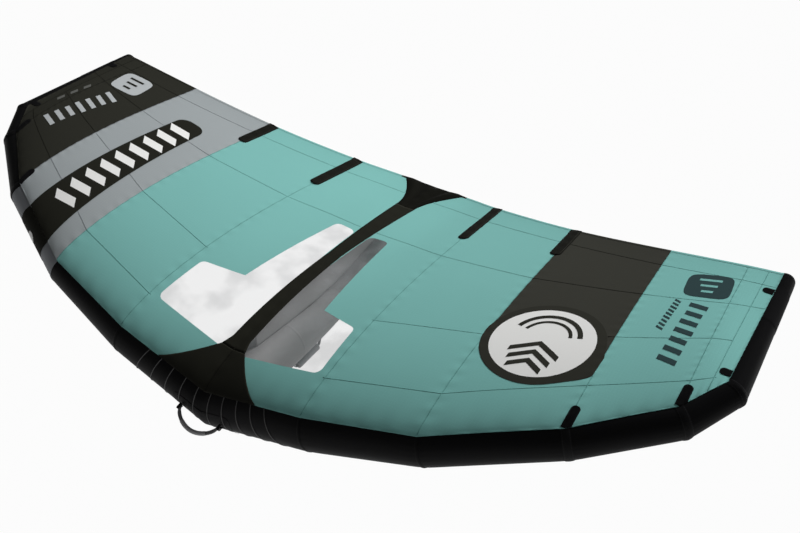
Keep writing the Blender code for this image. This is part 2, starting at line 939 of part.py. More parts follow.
def make_strut():
    rings = [strut_ring(share, 0.0) for share in strut_stations] + strut_tail_dome(0.0)
    sleeve = loft("strut_sleeve", rings, grey_cloth(), close_end=True)
    add_wall(sleeve, sleeve_wall, outward=False)
    cut(sleeve, nose_cutter("nose_for_strut", layer_gap))
    lift = -sleeve_wall - strut_bladder_slack
    inner = [strut_ring(share, lift) for share in strut_stations[1:]] + strut_tail_dome(lift)
    bladder = loft("strut_bladder", inner, bladder_film(), close_end=True, close_start=True)
    add_wall(bladder, bladder_wall, outward=False)
    cut(bladder, nose_cutter("nose_for_strut_bladder", layer_gap))
    return sleeve, bladder


# Flat cloth on the centre plane that ties the strut's top to the canopy
def make_web():
    front = strut_start() + web_setback
    rear = strut_at(1.0)[0][1]
    shares = [strut_share(front)] + [s for s in strut_stations if s > strut_share(front)]
    foot = []
    for share in shares:
        centre, radius = strut_at(share)
        foot.append((centre[1], centre[2] + radius + gap))
    head = []
    inner = [p for p in chord_line(0.0, 0.0, 1.0)]
    for _, t in inner:
        point = cloth_point(0.0, t)
        if front < point[1] < rear:
            head.append((point[1], point[2] - layer_gap))
    for y in (front, rear):
        point = cloth_point(*over(0.0, y))
        head.append((y, point[2] - layer_gap))
    head.sort(reverse=True)
    outline = bpy.data.curves.new("strut_web", "CURVE")
    outline.dimensions = "2D"
    outline.fill_mode = "BOTH"
    outline.extrude = web_thickness / 2.0
    line = outline.splines.new("POLY")
    places = foot + head
    line.points.add(len(places) - 1)
    for point, (y, z) in zip(line.points, places):
        point.co = (y, z, 0.0, 1.0)
    line.use_cyclic_u = True
    made = bpy.data.objects.new("strut_web", outline)
    made.matrix_world = Matrix(((0, 0, 1, 0), (1, 0, 0, 0), (0, 1, 0, 0), (0, 0, 0, 1)))
    outline.materials.append(grey_cloth())
    parts.objects.link(made)


def hole(name, start, way, radius, reach):
    start = Vector(start)
    way = Vector(way).normalized()
    bpy.ops.mesh.primitive_cylinder_add(vertices=tube_sides, radius=radius, depth=2.0 * reach)
    made = bpy.context.object
    made.name = name
    for home in list(made.users_collection):
        home.objects.unlink(made)
    cutters.objects.link(made)
    made.rotation_mode = "QUATERNION"
    made.rotation_quaternion = way.to_track_quat("Z", "Y")
    made.location = start
    hide_cutter(made)
    return made


# Round a profile of (radius, height) points about an axis; closed rings leave a bore
def turned(name, profile, start, way, look, steps=20, closed=False):
    mesh = bpy.data.meshes.new(name)
    count = len(profile)
    edges = [(i, i + 1) for i in range(count - 1)]
    if closed:
        edges.append((count - 1, 0))
    mesh.from_pydata([(r, 0.0, h) for r, h in profile], edges, [])
    made = add_object(name, mesh, look)
    screw = made.modifiers.new("turn", "SCREW")
    screw.steps = steps
    screw.render_steps = steps
    screw.use_merge_vertices = True
    screw.merge_threshold = weld
    screw.use_smooth_shade = True
    made.rotation_mode = "QUATERNION"
    made.rotation_quaternion = Vector(way).normalized().to_track_quat("Z", "Y")
    made.location = Vector(start)
    return made


def valve_place():
    turn = math.radians(valve_turn)
    return tube_point(valve_u, turn, gap), tube_direction(valve_u, turn)


def make_valve(centre_sleeve, bladder):
    place, way = valve_place()
    top = valve_flange_thickness + valve_neck_height
    profile = [
        (0.0, top - valve_bore_depth),
        (valve_bore_radius, top - valve_bore_depth),
        (valve_bore_radius, top),
        (valve_neck_radius, top),
        (valve_neck_radius, valve_flange_thickness),
        (valve_flange_radius, valve_flange_thickness),
        (valve_flange_radius, 0.0),
        (valve_stem_radius, 0.0),
        (valve_stem_radius, -valve_stem_depth),
        (0.0, -valve_stem_depth),
    ]
    turned("valve_body", profile, place, way, moulded_plastic())
    room = hole("valve_hole", place, way, valve_stem_radius + gap, valve_stem_depth + overrun)
    cut(centre_sleeve, room)
    cut(bladder, room)
    make_valve_cap(place, way, top)


# Cap on the valve's mouth, hung from a lug at its upper edge
def make_valve_cap(place, way, top):
    run = tube_run(valve_u)
    lift_way = unit(np.cross(run, way))
    if lift_way[2] < 0:
        lift_way = -lift_way
    base = place + way * (top + gap)
    side = cap_thickness * cap_side_share
    profile = [(0.0, cap_thickness), (cap_radius * cap_top_share, cap_thickness),
               (cap_radius, side), (cap_radius, 0.0), (0.0, 0.0)]
    cap = turned("valve_cap", profile, base, way, moulded_plastic())
    length = cap_lug_reach + cap_lug_root
    middle = base + lift_way * (cap_radius - cap_lug_root + length / 2.0) + way * side / 2.0
    lug = box("cap_lug", cutters, middle, (run, lift_way, way), (cap_lug_width, length, side))
    hide_cutter(lug)
    cut(cap, lug, "UNION")
    hang("valve_cap_hinge", base + lift_way * (cap_radius + cap_lug_reach), [cap])


# An empty on a joint's axis that carries the pieces which turn about it
def hang(name, place, pieces):
    hinge = bpy.data.objects.new(name, None)
    hinge.location = Vector(place)
    parts.objects.link(hinge)
    for piece in pieces:
        piece.parent = hinge
        piece.matrix_parent_inverse = Matrix.Translation(-hinge.location)


def box(name, collection, centre, axes, size, look=None):
    bpy.ops.mesh.primitive_cube_add(size=1.0)
    made = bpy.context.object
    made.name = name
    for home in list(made.users_collection):
        home.objects.unlink(made)
    collection.objects.link(made)
    turn = Matrix([list(map(float, a)) for a in axes]).transposed()
    made.data.transform(turn.to_4x4() @ Matrix.Diagonal((*size, 1.0)))
    made.location = Vector(centre)
    if turn.determinant() < 0:
        made.data.flip_normals()
    if look:
        made.data.materials.append(look)
    return made


# Path with its inner corners rounded to a radius
def rounded_path(points, radius, steps=4):
    path = [np.array(points[0], float)]
    for before, corner, after in zip(points[:-2], points[1:-1], points[2:]):
        a = unit(np.subtract(before, corner))
        b = unit(np.subtract(after, corner))
        half = math.acos(float(np.clip(np.dot(a, b), -1.0, 1.0))) / 2.0
        reach = radius / math.tan(half)
        centre = np.array(corner) + unit(a + b) * radius / math.sin(half)
        start = np.array(corner) + a * reach - centre
        end = np.array(corner) + b * reach - centre
        for k in range(steps + 1):
            path.append(centre + unit(start * (1.0 - k / steps) + end * (k / steps)) * radius)
    path.append(np.array(points[-1], float))
    return path


def curve_tube(name, path, radius, look, sides_each=2, capped=True, collection=None):
    curve = bpy.data.curves.new(name, "CURVE")
    curve.dimensions = "3D"
    curve.bevel_depth = radius
    curve.bevel_resolution = sides_each
    curve.use_fill_caps = capped
    line = curve.splines.new("POLY")
    line.points.add(len(path) - 1)
    for point, place in zip(line.points, path):
        point.co = (*map(float, place), 1.0)
    made = bpy.data.objects.new(name, curve)
    if look:
        curve.materials.append(look)
    (collection or parts).objects.link(made)
    return made


# Turn a curve into a welded mesh object of the same name
def as_mesh(made, collection=None):
    bpy.context.view_layer.update()
    seen = made.evaluated_get(bpy.context.evaluated_depsgraph_get())
    mesh = bpy.data.meshes.new_from_object(seen)
    work = bmesh.new()
    work.from_mesh(mesh)
    bmesh.ops.remove_doubles(work, verts=work.verts, dist=weld)
    work.to_mesh(mesh)
    work.free()
    name = made.name
    place = made.matrix_world.copy()
    bpy.data.objects.remove(made, do_unlink=True)
    solid = bpy.data.objects.new(name, mesh)
    solid.matrix_world = place
    (collection or parts).objects.link(solid)
    return solid


# Hose from a port in the tube to a port in the strut's side, both walls holed for the air
def make_hose(centre_sleeve, bladder, strut_sleeve, strut_bladder):
    turn = math.radians(hose_turn)
    start = tube_point(-hose_u, turn, gap)
    out = tube_direction(-hose_u, turn)
    end = strut_point(hose_strut_share, -math.pi / 2.0, gap)
    side_way = np.array([-1.0, 0.0, 0.0])
    corner = np.array([start[0], end[1], end[2]])
    turn_in = start + out * hose_lead
    path = rounded_path([start, turn_in, corner, end], hose_bend, 6)
    hose = as_mesh(curve_tube("air_hose", path, hose_radius, moulded_plastic(), 3, capped=False))
    add_wall(hose, hose_wall, outward=False)
    reach = sleeve_wall + bladder_slack + bladder_wall + overrun
    for name, place, way, walls in (("tube_port", start, out, (centre_sleeve, bladder)),
                                    ("strut_port", end, side_way, (strut_sleeve, strut_bladder))):
        port = hole(name, place, way, hose_port_radius, reach)
        for wall in walls:
            cut(wall, port)
    make_clip(path)


# Pinch clip round the middle of the hose, open on one side
def make_clip(path):
    lengths = [np.linalg.norm(b - a) for a, b in zip(path[:-1], path[1:])]
    longest = int(np.argmax(lengths))
    place = (path[longest] + path[longest + 1]) / 2.0
    run = unit(path[longest + 1] - path[longest])
    across = unit(np.cross(run, (0.0, 0.0, 1.0)))
    up = np.cross(across, run)
    outer = 2.0 * (hose_radius + gap + clip_wall)
    body = box("hose_clip", parts, place, (across, run, up), (outer, clip_length, outer), moulded_plastic())
    bore = hole("clip_bore", place, run, hose_radius + gap, clip_length)
    cut(body, bore)
    slot = box("clip_slot", cutters, place - up * outer / 2.0, (across, run, up),
               (clip_slot, 2.0 * clip_length, outer))
    hide_cutter(slot)
    cut(body, slot)


# Reinforcing patch on a tube with an ear at each handle anchor
def patch_on_tube(name, surface, rows, columns, thickness, look):
    points = [surface(a, b) for a in rows for b in columns]
    width = len(columns)
    faces = []
    for r in range(len(rows) - 1):
        for c in range(width - 1):
            k = r * width + c
            faces.append((k, k + 1, k + width + 1, k + width))
    made = add_object(name, mesh_from(name, points, faces), look)
    add_wall(made, thickness, outward=True)
    return made


def point_away(made, centre):
    mesh = made.data
    facing = sum(f.normal.dot(f.center - Vector(centre)) for f in mesh.polygons)
    if facing < 0:
        mesh.flip_normals()


def add_ears(patch, name, places, run, down):
    for index, place in enumerate(places):
        across = unit(np.cross(run[index], down[index]))
        centre = place + down[index] * (ear_height - cloth / 2.0) / 2.0
        ear = box(f"{name}_ear_{index}", cutters, centre, (run[index], across, down[index]),
                  (ear_length, ear_width, ear_height + cloth / 2.0))
        hide_cutter(ear)
        cut(patch, ear, "UNION")


def leash_loop_place():
    return strut_at(1.0)[0][1] - leash_loop_setback


def strut_grip_places():
    half = strut_grip_length / 2.0
    small = leash_loop_length / 2.0
    return (("front_grip", -front_grip_ahead, half), ("rear_grip", rear_grip_behind, half),
            ("leash_loop", leash_loop_place(), small))


def strut_anchor(y):
    return strut_point(strut_share(y), math.pi, layer_gap + cloth)


def strut_grip_axes(y, half):
    run = unit(strut_anchor(y + half) - strut_anchor(y - half))
    return run, np.array([0.0, run[2], -run[1]])


def make_strut_patch():
    front = strut_share(-strut_patch_front)
    rear = strut_share(leash_loop_place() + strut_patch_overhang)
    inner = [s for s in strut_stations if front < s < rear]
    rows = [front, *inner, rear]
    spread = math.radians(strut_patch_turn)
    columns = [math.pi - spread, math.pi - spread / 2.0, math.pi, math.pi + spread / 2.0, math.pi + spread]
    patch = patch_on_tube("strut_grip_patch", lambda a, b: strut_point(a, b, layer_gap), rows, columns,
                          cloth, black_cloth())
    point_away(patch, (0.0, 0.0, nose_height))
    for name, y, half in strut_grip_places():
        run, down = strut_grip_axes(y, half)
        ends = [strut_anchor(y - half), strut_anchor(y + half)]
        add_ears(patch, name, ends, [run, run], [down, down])


# Hanging handle: a strap whose ends lie on the hinge line, through a padded grip
def handle_path(a, b, drop, slope):
    run = unit(b - a)
    down = np.array([0.0, 0.0, -1.0])
    down = unit(down - run * np.dot(down, run))
    inset = drop * slope
    bottom = [a + run * inset + down * drop, b - run * inset + down * drop]
    return [a - run * strap_end, a, *bottom, b, b + run * strap_end], run


def strut_hinge_points(y, half, radius):
    _, down = strut_grip_axes(y, half)
    reach = ear_height + radius + gap
    return strut_anchor(y - half) + down * reach, strut_anchor(y + half) + down * reach


def make_strut_handles():
    for name, y, half in strut_grip_places():
        a, b = strut_hinge_points(y, half, leash_loop_radius if name == "leash_loop" else strap_radius)
        if name == "leash_loop":
            points, run = handle_path(a, b, leash_loop_drop, leash_loop_slope_share)
            path = rounded_path(points, leash_loop_radius * leash_bend_share, 3)
            hang(f"{name}_hinge", a, [curve_tube(name, path, leash_loop_radius, webbing())])
            continue
        points, run = handle_path(a, b, strut_grip_drop, strut_grip_slope_share)
        path = rounded_path(points, strap_radius * strap_bend_share)
        strap = curve_tube(f"{name}_strap", path, strap_radius, webbing())
        middle = (points[2] + points[3]) / 2.0
        pad = make_pad(f"{name}_pad", middle, run)
        hang(f"{name}_hinge", a, [strap, pad])


def make_pad(name, middle, run):
    radius = strut_pad_radius
    inner = strap_radius + gap
    bevel = (radius - inner) * pad_bevel_share
    half = strut_pad_length / 2.0
    profile = [(inner, half), (radius - bevel, half), (radius, half - bevel), (radius, bevel - half),
               (radius - bevel, -half), (inner, -half)]
    return turned(name, profile, middle, run, foam(), steps=16, closed=True)


def nose_anchor(x, lift):
    turn = math.radians(nose_grip_turn)
    u = x / kink_points[1][0]
    return tube_point(u, turn, lift), tube_direction(u, turn)


def nose_hinge_points():
    half = nose_grip_length / 2.0
    reach = layer_gap + cloth + ear_height + strap_radius + gap
    return nose_anchor(-half, reach)[0], nose_anchor(half, reach)[0]


def make_nose_patch_and_handle():
    half = nose_patch_half_width / kink_points[1][0]
    rows = [-half, -half / 2.0, 0.0, half / 2.0, half]
    spread = math.radians(nose_patch_turn)
    middle = math.radians(nose_grip_turn)
    columns = [middle + spread * k / 2.0 for k in (-2, -1, 0, 1, 2)]
    patch = patch_on_tube("nose_grip_patch", lambda a, b: tube_point(a, b, layer_gap), rows, columns,
                          cloth, black_cloth())
    point_away(patch, kink_points[0])
    anchors = [nose_anchor(way * nose_grip_length / 2.0, layer_gap + cloth) for way in (-1.0, 1.0)]
    places = [place for place, _ in anchors]
    runs = []
    downs = []
    for way, (_, out) in zip((-1.0, 1.0), anchors):
        along = unit(kink_points[1] * np.array([way, 1.0, 1.0]) - kink_points[0]) * way
        runs.append(unit(along - out * np.dot(along, out)))
        downs.append(out)
    add_ears(patch, "nose", places, runs, downs)
    make_nose_handle()


# The nose handle stands out in a shallow arc, a half circle shaped by two powers and leaning forward
def make_nose_handle():
    a, b = nose_hinge_points()
    run = unit(b - a)
    width = np.linalg.norm(b - a)
    lean = math.radians(nose_grip_lean)
    out = np.array([0.0, -math.sin(lean), -math.cos(lean)])
    path = [a - run * strap_end, a]
    for k in range(1, nose_grip_steps):
        turn = math.pi * k / nose_grip_steps
        swing = math.copysign(abs(math.cos(turn)) ** nose_grip_along_power, math.cos(turn))
        drop = nose_grip_drop * math.sin(turn) ** nose_grip_down_power
        path.append(a + run * width * (1.0 - swing) / 2.0 + out * drop)
    path += [b, b + run * strap_end]
    strap = curve_tube("nose_handle_strap", path, strap_radius, webbing(), 3)
    centre = len(path) // 2
    reach = round(len(path) * nose_pad_share / 2.0)
    cover = path[centre - reach:centre + reach + 1]
    pad = as_mesh(curve_tube("nose_handle_pad", cover, nose_pad_radius, foam(), 3, capped=False))
    add_wall(pad, nose_pad_radius - strap_radius - layer_gap, outward=False)
    hang("nose_handle_hinge", a, [strap, pad])


def main():
    start_scene()
    make_canopy()
    make_centre_pieces()
    make_hem()
    make_battens()
    make_tabs()
    centre_sleeve = make_sleeves()
    bladder = make_le_bladder()
    strut_sleeve, strut_bladder = make_strut()
    make_web()
    make_valve(centre_sleeve, bladder)
    make_hose(centre_sleeve, bladder, strut_sleeve, strut_bladder)
    make_strut_patch()
    make_strut_handles()
    make_nose_patch_and_handle()


main()
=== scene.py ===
# Wingfoil wing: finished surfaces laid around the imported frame, in its own metres.
# Right is +X, the leading edge faces -Y, and the origin lies midway between the strut's two grips.
import json
import math

import bpy
import numpy as np
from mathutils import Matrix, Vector


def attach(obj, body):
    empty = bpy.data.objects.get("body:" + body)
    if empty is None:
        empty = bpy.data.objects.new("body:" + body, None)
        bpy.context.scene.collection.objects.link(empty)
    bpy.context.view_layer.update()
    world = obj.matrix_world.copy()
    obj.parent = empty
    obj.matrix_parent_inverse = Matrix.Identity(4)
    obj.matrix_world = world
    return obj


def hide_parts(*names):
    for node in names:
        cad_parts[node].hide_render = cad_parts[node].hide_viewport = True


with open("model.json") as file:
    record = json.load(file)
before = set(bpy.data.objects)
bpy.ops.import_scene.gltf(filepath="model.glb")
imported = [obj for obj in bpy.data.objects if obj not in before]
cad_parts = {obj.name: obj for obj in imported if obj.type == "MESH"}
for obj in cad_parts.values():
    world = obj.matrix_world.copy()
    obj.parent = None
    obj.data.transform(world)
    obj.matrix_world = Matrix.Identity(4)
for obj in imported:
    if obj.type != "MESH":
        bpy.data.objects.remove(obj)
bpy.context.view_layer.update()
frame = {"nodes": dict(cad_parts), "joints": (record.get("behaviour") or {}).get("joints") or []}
cadNodes = frame["nodes"]
joints = {joint["name"]: joint for joint in frame["joints"]}
sides = (("right", 1.0), ("left", -1.0))
fullTurn = 2.0 * math.pi
upward = (0.0, 0.0, 1.0)
studio = bpy.context.scene
print("frame loaded:", len(cadNodes), "nodes")


# Small tools for materials

def hexColour(text):
    # sRGB hex to linear: the low part is divided by 12.92, the rest follows the 2.4 power
    value = np.array([int(text[k:k + 2], 16) for k in (1, 3, 5)]) / 255.0
    linear = np.where(value <= 0.04045, value / 12.92, ((value + 0.055) / 1.055) ** 2.4)
    return (*map(float, linear), 1.0)


def shade(colour, factor):
    return (*(min(c * factor, 1.0) for c in colour[:3]), 1.0)


def addNode(tree, kind, settings=None, links=None):
    # One node: settings are properties or socket values, links are sockets fed by other sockets
    node = tree.nodes.new(kind)
    for key, value in (settings or {}).items():
        if isinstance(key, str) and hasattr(node, key):
            setattr(node, key, value)
        else:
            node.inputs[key].default_value = value
    for key, source in (links or {}).items():
        tree.links.new(source, node.inputs[key])
    return node


looks = {}


def startMaterial(name, roughness, ior=1.5, specular=0.5):
    # A new material, kept in looks under its name
    made = bpy.data.materials.new(name)
    made.use_nodes = True
    looks[name] = made
    tree = made.node_tree
    shader = tree.nodes["Principled BSDF"]
    shader.inputs["Roughness"].default_value = roughness
    shader.inputs["IOR"].default_value = ior
    shader.inputs["Specular IOR Level"].default_value = specular
    return made, tree, shader, addNode(tree, "ShaderNodeTexCoord")


def clothMaterial(name, colour, roughness, thread, specular, ripstop=0.0, mottle=0.05):
    # Woven cloth: threads as bump, faint ripstop squares, and slow changes of tone from its tension
    _, tree, shader, coords = startMaterial(name, roughness, specular=specular)
    place = {"Vector": coords.outputs["Object"]}
    cloud = addNode(tree, "ShaderNodeTexNoise", {"Scale": 3.5, "Detail": 3.0}, place)
    grain = addNode(tree, "ShaderNodeTexNoise", {"Scale": 1.0 / thread, "Detail": 1.0}, place)
    base = hexColour(colour)
    light, dark = shade(base, 1.0 + mottle), shade(base, 1.0 - mottle)
    tone = addNode(tree, "ShaderNodeMix", {"data_type": "RGBA", 6: dark, 7: light}, {0: cloud.outputs["Fac"]})
    height = grain.outputs["Fac"]
    if ripstop:
        # Real ripstop squares are 5 mm: they are drawn at twice that, so that they show
        squares = addNode(tree, "ShaderNodeTexBrick", {
            "offset": 0.0, "Scale": 1.0, "Mortar Size": ripstop * 0.05, "Mortar Smooth": 0.4,
            "Brick Width": ripstop, "Row Height": ripstop, "Mortar": shade(base, 1.06)},
            {"Vector": coords.outputs["Object"], "Color1": tone.outputs[2], "Color2": tone.outputs[2]})
        tree.links.new(squares.outputs["Color"], shader.inputs["Base Color"])
        height = addNode(tree, "ShaderNodeMath", {"operation": "ADD"}, {
            0: height, 1: squares.outputs["Fac"]}).outputs[0]
    else:
        tree.links.new(tone.outputs[2], shader.inputs["Base Color"])
    bump = addNode(tree, "ShaderNodeBump", {"Strength": 0.2, "Distance": thread * 0.25}, {"Height": height})
    tree.links.new(bump.outputs[0], shader.inputs["Normal"])


def tapeMaterial(name, colour, roughness, pick, specular, stitchIn=0.0, stitchColour=None):
    # Woven tape or webbing: staggered picks along UV, and a dashed thread stitchIn metres from its border
    _, tree, shader, coords = startMaterial(name, roughness, specular=specular)
    base = hexColour(colour)
    weave = addNode(tree, "ShaderNodeTexBrick", {
        "Scale": 1.0, "Mortar Size": pick * 0.12, "Mortar Smooth": 0.6, "Brick Width": pick * 2.0,
        "Row Height": pick, "Color1": base, "Color2": shade(base, 1.35), "Mortar": shade(base, 0.6)},
        {"Vector": coords.outputs["UV"]})
    colourOut, height = weave.outputs["Color"], weave.outputs["Fac"]
    if stitchIn:
        # Real stitches are 3 mm long and 0.4 mm thick: they are drawn about twice that, so that they show
        uv = addNode(tree, "ShaderNodeSeparateXYZ", links={0: coords.outputs["UV"]})
        halfThick, pitch, gap = 0.0006, 0.0035, 0.0012
        off = addNode(tree, "ShaderNodeMath", {"operation": "COMPARE", 1: stitchIn, 2: halfThick}, {
            0: uv.outputs[1]})
        wave = addNode(tree, "ShaderNodeMath", {"operation": "PINGPONG", 1: pitch}, {0: uv.outputs[0]})
        dash = addNode(tree, "ShaderNodeMath", {"operation": "GREATER_THAN", 1: gap}, {0: wave.outputs[0]})
        stitch = addNode(tree, "ShaderNodeMath", {"operation": "MULTIPLY"}, {
            0: off.outputs[0], 1: dash.outputs[0]})
        mixed = addNode(tree, "ShaderNodeMix", {"data_type": "RGBA", 7: hexColour(stitchColour)}, {
            0: stitch.outputs[0], 6: colourOut})
        colourOut = mixed.outputs[2]
        height = addNode(tree, "ShaderNodeMath", {"operation": "MAXIMUM"}, {
            0: height, 1: stitch.outputs[0]}).outputs[0]
    tree.links.new(colourOut, shader.inputs["Base Color"])
    bump = addNode(tree, "ShaderNodeBump", {"Strength": 0.35, "Distance": 0.0004}, {"Height": height})
    tree.links.new(bump.outputs[0], shader.inputs["Normal"])


def mouldedMaterial(name, colour, roughness, grainSize, depth, spread=0.1, specular=0.5, cells=False):
    # Moulded, printed or foamed surface: its grain, or closed cells, in the bump and a little in the tone
    _, tree, shader, coords = startMaterial(name, roughness, specular=specular)
    kind, outName = ("ShaderNodeTexVoronoi", "Distance") if cells else ("ShaderNodeTexNoise", "Fac")
    grain = addNode(tree, kind, {"Scale": 1.0 / grainSize, "Detail": 2.0}, {"Vector": coords.outputs["Object"]})
    base = hexColour(colour)
    light, dark, height = shade(base, 1.0 + spread), shade(base, 1.0 - spread), grain.outputs[outName]
    tone = addNode(tree, "ShaderNodeMix", {"data_type": "RGBA", 6: dark, 7: light}, {0: height})
    tree.links.new(tone.outputs[2], shader.inputs["Base Color"])
    bump = addNode(tree, "ShaderNodeBump", {"Strength": 0.3, "Distance": depth}, {"Height": height})
    tree.links.new(bump.outputs[0], shader.inputs["Normal"])


def filmMaterial(name, colour, clearShare, reflectionShare, roughness):
    # Clear calendered film: soft grey clouds of opacity are painted reflections of the light that its slight
    # ripples catch, over the same noise that bumps the ripples
    made, tree, shader, coords = startMaterial(name, roughness, ior=1.45)
    cloud = addNode(tree, "ShaderNodeTexNoise", {"Scale": 7.0, "Detail": 2.5, "Roughness": 0.5}, {
        "Vector": coords.outputs["Object"]})
    clearBelow, reflectionAbove = 0.40, 0.66
    soft = addNode(tree, "ShaderNodeMapRange", {
        "interpolation_type": "SMOOTHSTEP", "From Min": clearBelow, "From Max": reflectionAbove}, {
        "Value": cloud.outputs["Fac"]})
    cover = addNode(tree, "ShaderNodeMapRange", {"To Min": clearShare, "To Max": reflectionShare}, {
        "Value": soft.outputs[0]})
    # Painted reflection: inside the clouds the grey film turns less clear
    tree.links.new(cover.outputs[0], shader.inputs["Alpha"])
    shader.inputs["Base Color"].default_value = hexColour(colour)
    bump = addNode(tree, "ShaderNodeBump", {"Strength": 0.15, "Distance": 0.004}, {
        "Height": cloud.outputs["Fac"]})
    tree.links.new(bump.outputs[0], shader.inputs["Normal"])
    made.surface_render_method = "BLENDED"


# What each surface is made of, and what that gives the eye

# Polyurethane coated ripstop polyester: even and slightly satin
clothMaterial("tealRipstop", "#76AEA9", 0.65, 0.0016, 0.12, ripstop=0.010, mottle=0.03)
clothMaterial("greyRipstop", "#949A9C", 0.65, 0.0016, 0.12, ripstop=0.010)
clothMaterial("blackRipstop", "#2B2B26", 0.75, 0.0016, 0.05, ripstop=0.010)
clothMaterial("darkRipstop", "#383833", 0.75, 0.0016, 0.05, ripstop=0.010)
# Dense woven polyester of the inflated tubes: tighter and smoother than the canopy
clothMaterial("blackTubeCloth", "#0F0F10", 0.52, 0.0011, 0.08, mottle=0.10)
clothMaterial("greyTubeCloth", "#85888C", 0.55, 0.0011, 0.15, mottle=0.04)
clothMaterial("scuffCloth", "#131314", 0.65, 0.0011, 0.06, mottle=0.08)
clothMaterial("strutCloth", "#8B8B8B", 0.60, 0.0011, 0.15, mottle=0.03)
# Uncoated woven polyester of the patches over the centre: flat and uneven in its black
# The tail fan's cloth is the patches' cloth drawn darker: painted shade of the fan's hollow
clothMaterial("fanCloth", "#151512", 0.70, 0.0012, 0.06, mottle=0.12)
clothMaterial("patchCloth", "#22221D", 0.70, 0.0012, 0.06, mottle=0.12)
# Clear calendered vinyl: see-through, with painted reflections as soft grey clouds
filmMaterial("windowFilm", "#9A9C9E", 0.17, 0.42, 0.12)
# Seams in the canopy, a shade darker than the cloth that they join
tapeMaterial("tealSeam", "#5F938E", 0.6, 0.0016, 0.12)
tapeMaterial("greySeam", "#75797D", 0.6, 0.0016, 0.12)
tapeMaterial("blackSeam", "#1D1D19", 0.7, 0.0016, 0.05)
# Woven polyester tape sewn over ends and edges: its thread stands out a little in tone
tapeMaterial("blackTape", "#1B1B18", 0.70, 0.0020, 0.08, stitchIn=0.0045, stitchColour="#3A3A35")
tapeMaterial("kinkTape", "#0E0E0F", 0.60, 0.0020, 0.12, stitchIn=0.0030, stitchColour="#222224")
tapeMaterial("greyTape", "#7C7D7E", 0.70, 0.0020, 0.15, stitchIn=0.0045, stitchColour="#5A5B5C")
# Heavy woven webbing: a coarse weave with a slight sheen
# This webbing is drawn lighter than the real dark strap: painted light, set so that the nose handle reads as
# lit in the wing's shade
tapeMaterial("webbing", "#727273", 0.65, 0.0022, 0.2)
tapeMaterial("greyWebbing", "#8C8D8E", 0.70, 0.0022, 0.15)
# Rubber ribs printed on the nose: matt and raised
mouldedMaterial("ribRubber", "#4E4E4E", 0.6, 0.003, 0.0002)
# Closed cell foam of the grips, pressed in a mould: matt, with fine cells
# The nose grip's foam is really dark grey: its light grey is painted light, set for the wing's shade over it
mouldedMaterial("darkFoam", "#A0A0A1", 0.70, 0.0030, 0.0006, spread=0.15, specular=0.3, cells=True)
mouldedMaterial("greyFoam", "#989899", 0.85, 0.0030, 0.0009, spread=0.12, specular=0.2, cells=True)
# Injection moulded nylon, and the smooth extruded skin of the air hose: satin and even
mouldedMaterial("valveNylon", "#1A1B1D", 0.38, 0.004, 0.0001, spread=0.05)
mouldedMaterial("hoseRubber", "#1F2021", 0.45, 0.006, 0.0001, spread=0.05)
# Screen printed ink: flat and even on the cloth
for ink, inkColour, inkRoughness, inkSpread, inkSpecular in (
        ("whitePrint", "#E2E2E0", 0.6, 0.02, 0.3), ("palePrint", "#ABAFB1", 0.6, 0.03, 0.3),
        ("dimPrint", "#5C5D5A", 0.6, 0.03, 0.3), ("slatePrint", "#2E4143", 0.6, 0.04, 0.3),
        ("blackPrint", "#23231E", 0.7, 0.05, 0.05), ("darkPrint", "#30302B", 0.7, 0.05, 0.05),
        ("tealPrint", "#76AEA9", 0.6, 0.03, 0.3)):
    mouldedMaterial(ink, inkColour, inkRoughness, 0.0020, 0.0001, spread=inkSpread, specular=inkSpecular)
# Inside pieces: thin translucent bladder film and pultruded glass fibre
mouldedMaterial("bladderFilm", "#C9CDD0", 0.30, 0.02, 0.0002, spread=0.03)
mouldedMaterial("glassFibre", "#C3C4B6", 0.45, 0.004, 0.0001, spread=0.06)
print("materials made:", len(looks))


# Small tools for meshes

def makeMesh(name, points, faces, materials, faceSlots=None, uv=None):
    # points (n, 3), faces (m, 4) with -1 as the last corner of a triangle, one look or several, uv (n, 2)
    mesh = bpy.data.meshes.new(name)
    mesh.from_pydata(points.reshape(-1, 3).tolist(), [], [f if f[3] >= 0 else f[:3] for f in faces.tolist()])
    for look in (materials,) if isinstance(materials, str) else materials:
        mesh.materials.append(looks[look])
    if faceSlots is not None:
        mesh.polygons.foreach_set("material_index", faceSlots.astype(np.int32))
    if uv is not None:
        corners = np.empty(len(mesh.loops), dtype=np.int32)
        mesh.loops.foreach_get("vertex_index", corners)
        layer = mesh.uv_layers.new(name="UVMap")
        layer.data.foreach_set("uv", uv.reshape(-1, 2)[corners].astype(np.float32).ravel())
    mesh.update()
    mesh.shade_smooth()
    made = bpy.data.objects.new(name, mesh)
    studio.collection.objects.link(made)
    return made


def gridFaces(rows, columns, wrapRows=False, wrapColumns=False):
    # Quads between neighbouring rows and columns of a grid, closed round where asked
    lastRow = rows if wrapRows else rows - 1
    lastColumn = columns if wrapColumns else columns - 1
    r, c = np.meshgrid(np.arange(lastRow), np.arange(lastColumn), indexing="ij")
    nextR, nextC = (r + 1) % rows, (c + 1) % columns
    corners = [r * columns + c, nextR * columns + c, nextR * columns + nextC, r * columns + nextC]
    return np.stack(corners, axis=-1).reshape(-1, 4)


def facesToward(grid, outward):
    # A grid's faces, turned over where the sum of their normals points away from outward
    faces = gridFaces(*grid.shape[:2])
    a, b, c, d = np.moveaxis(grid.reshape(-1, 3)[faces], 1, 0)
    return faces[:, ::-1] if np.dot(np.cross(c - a, d - b).sum(axis=0), outward) < 0.0 else faces


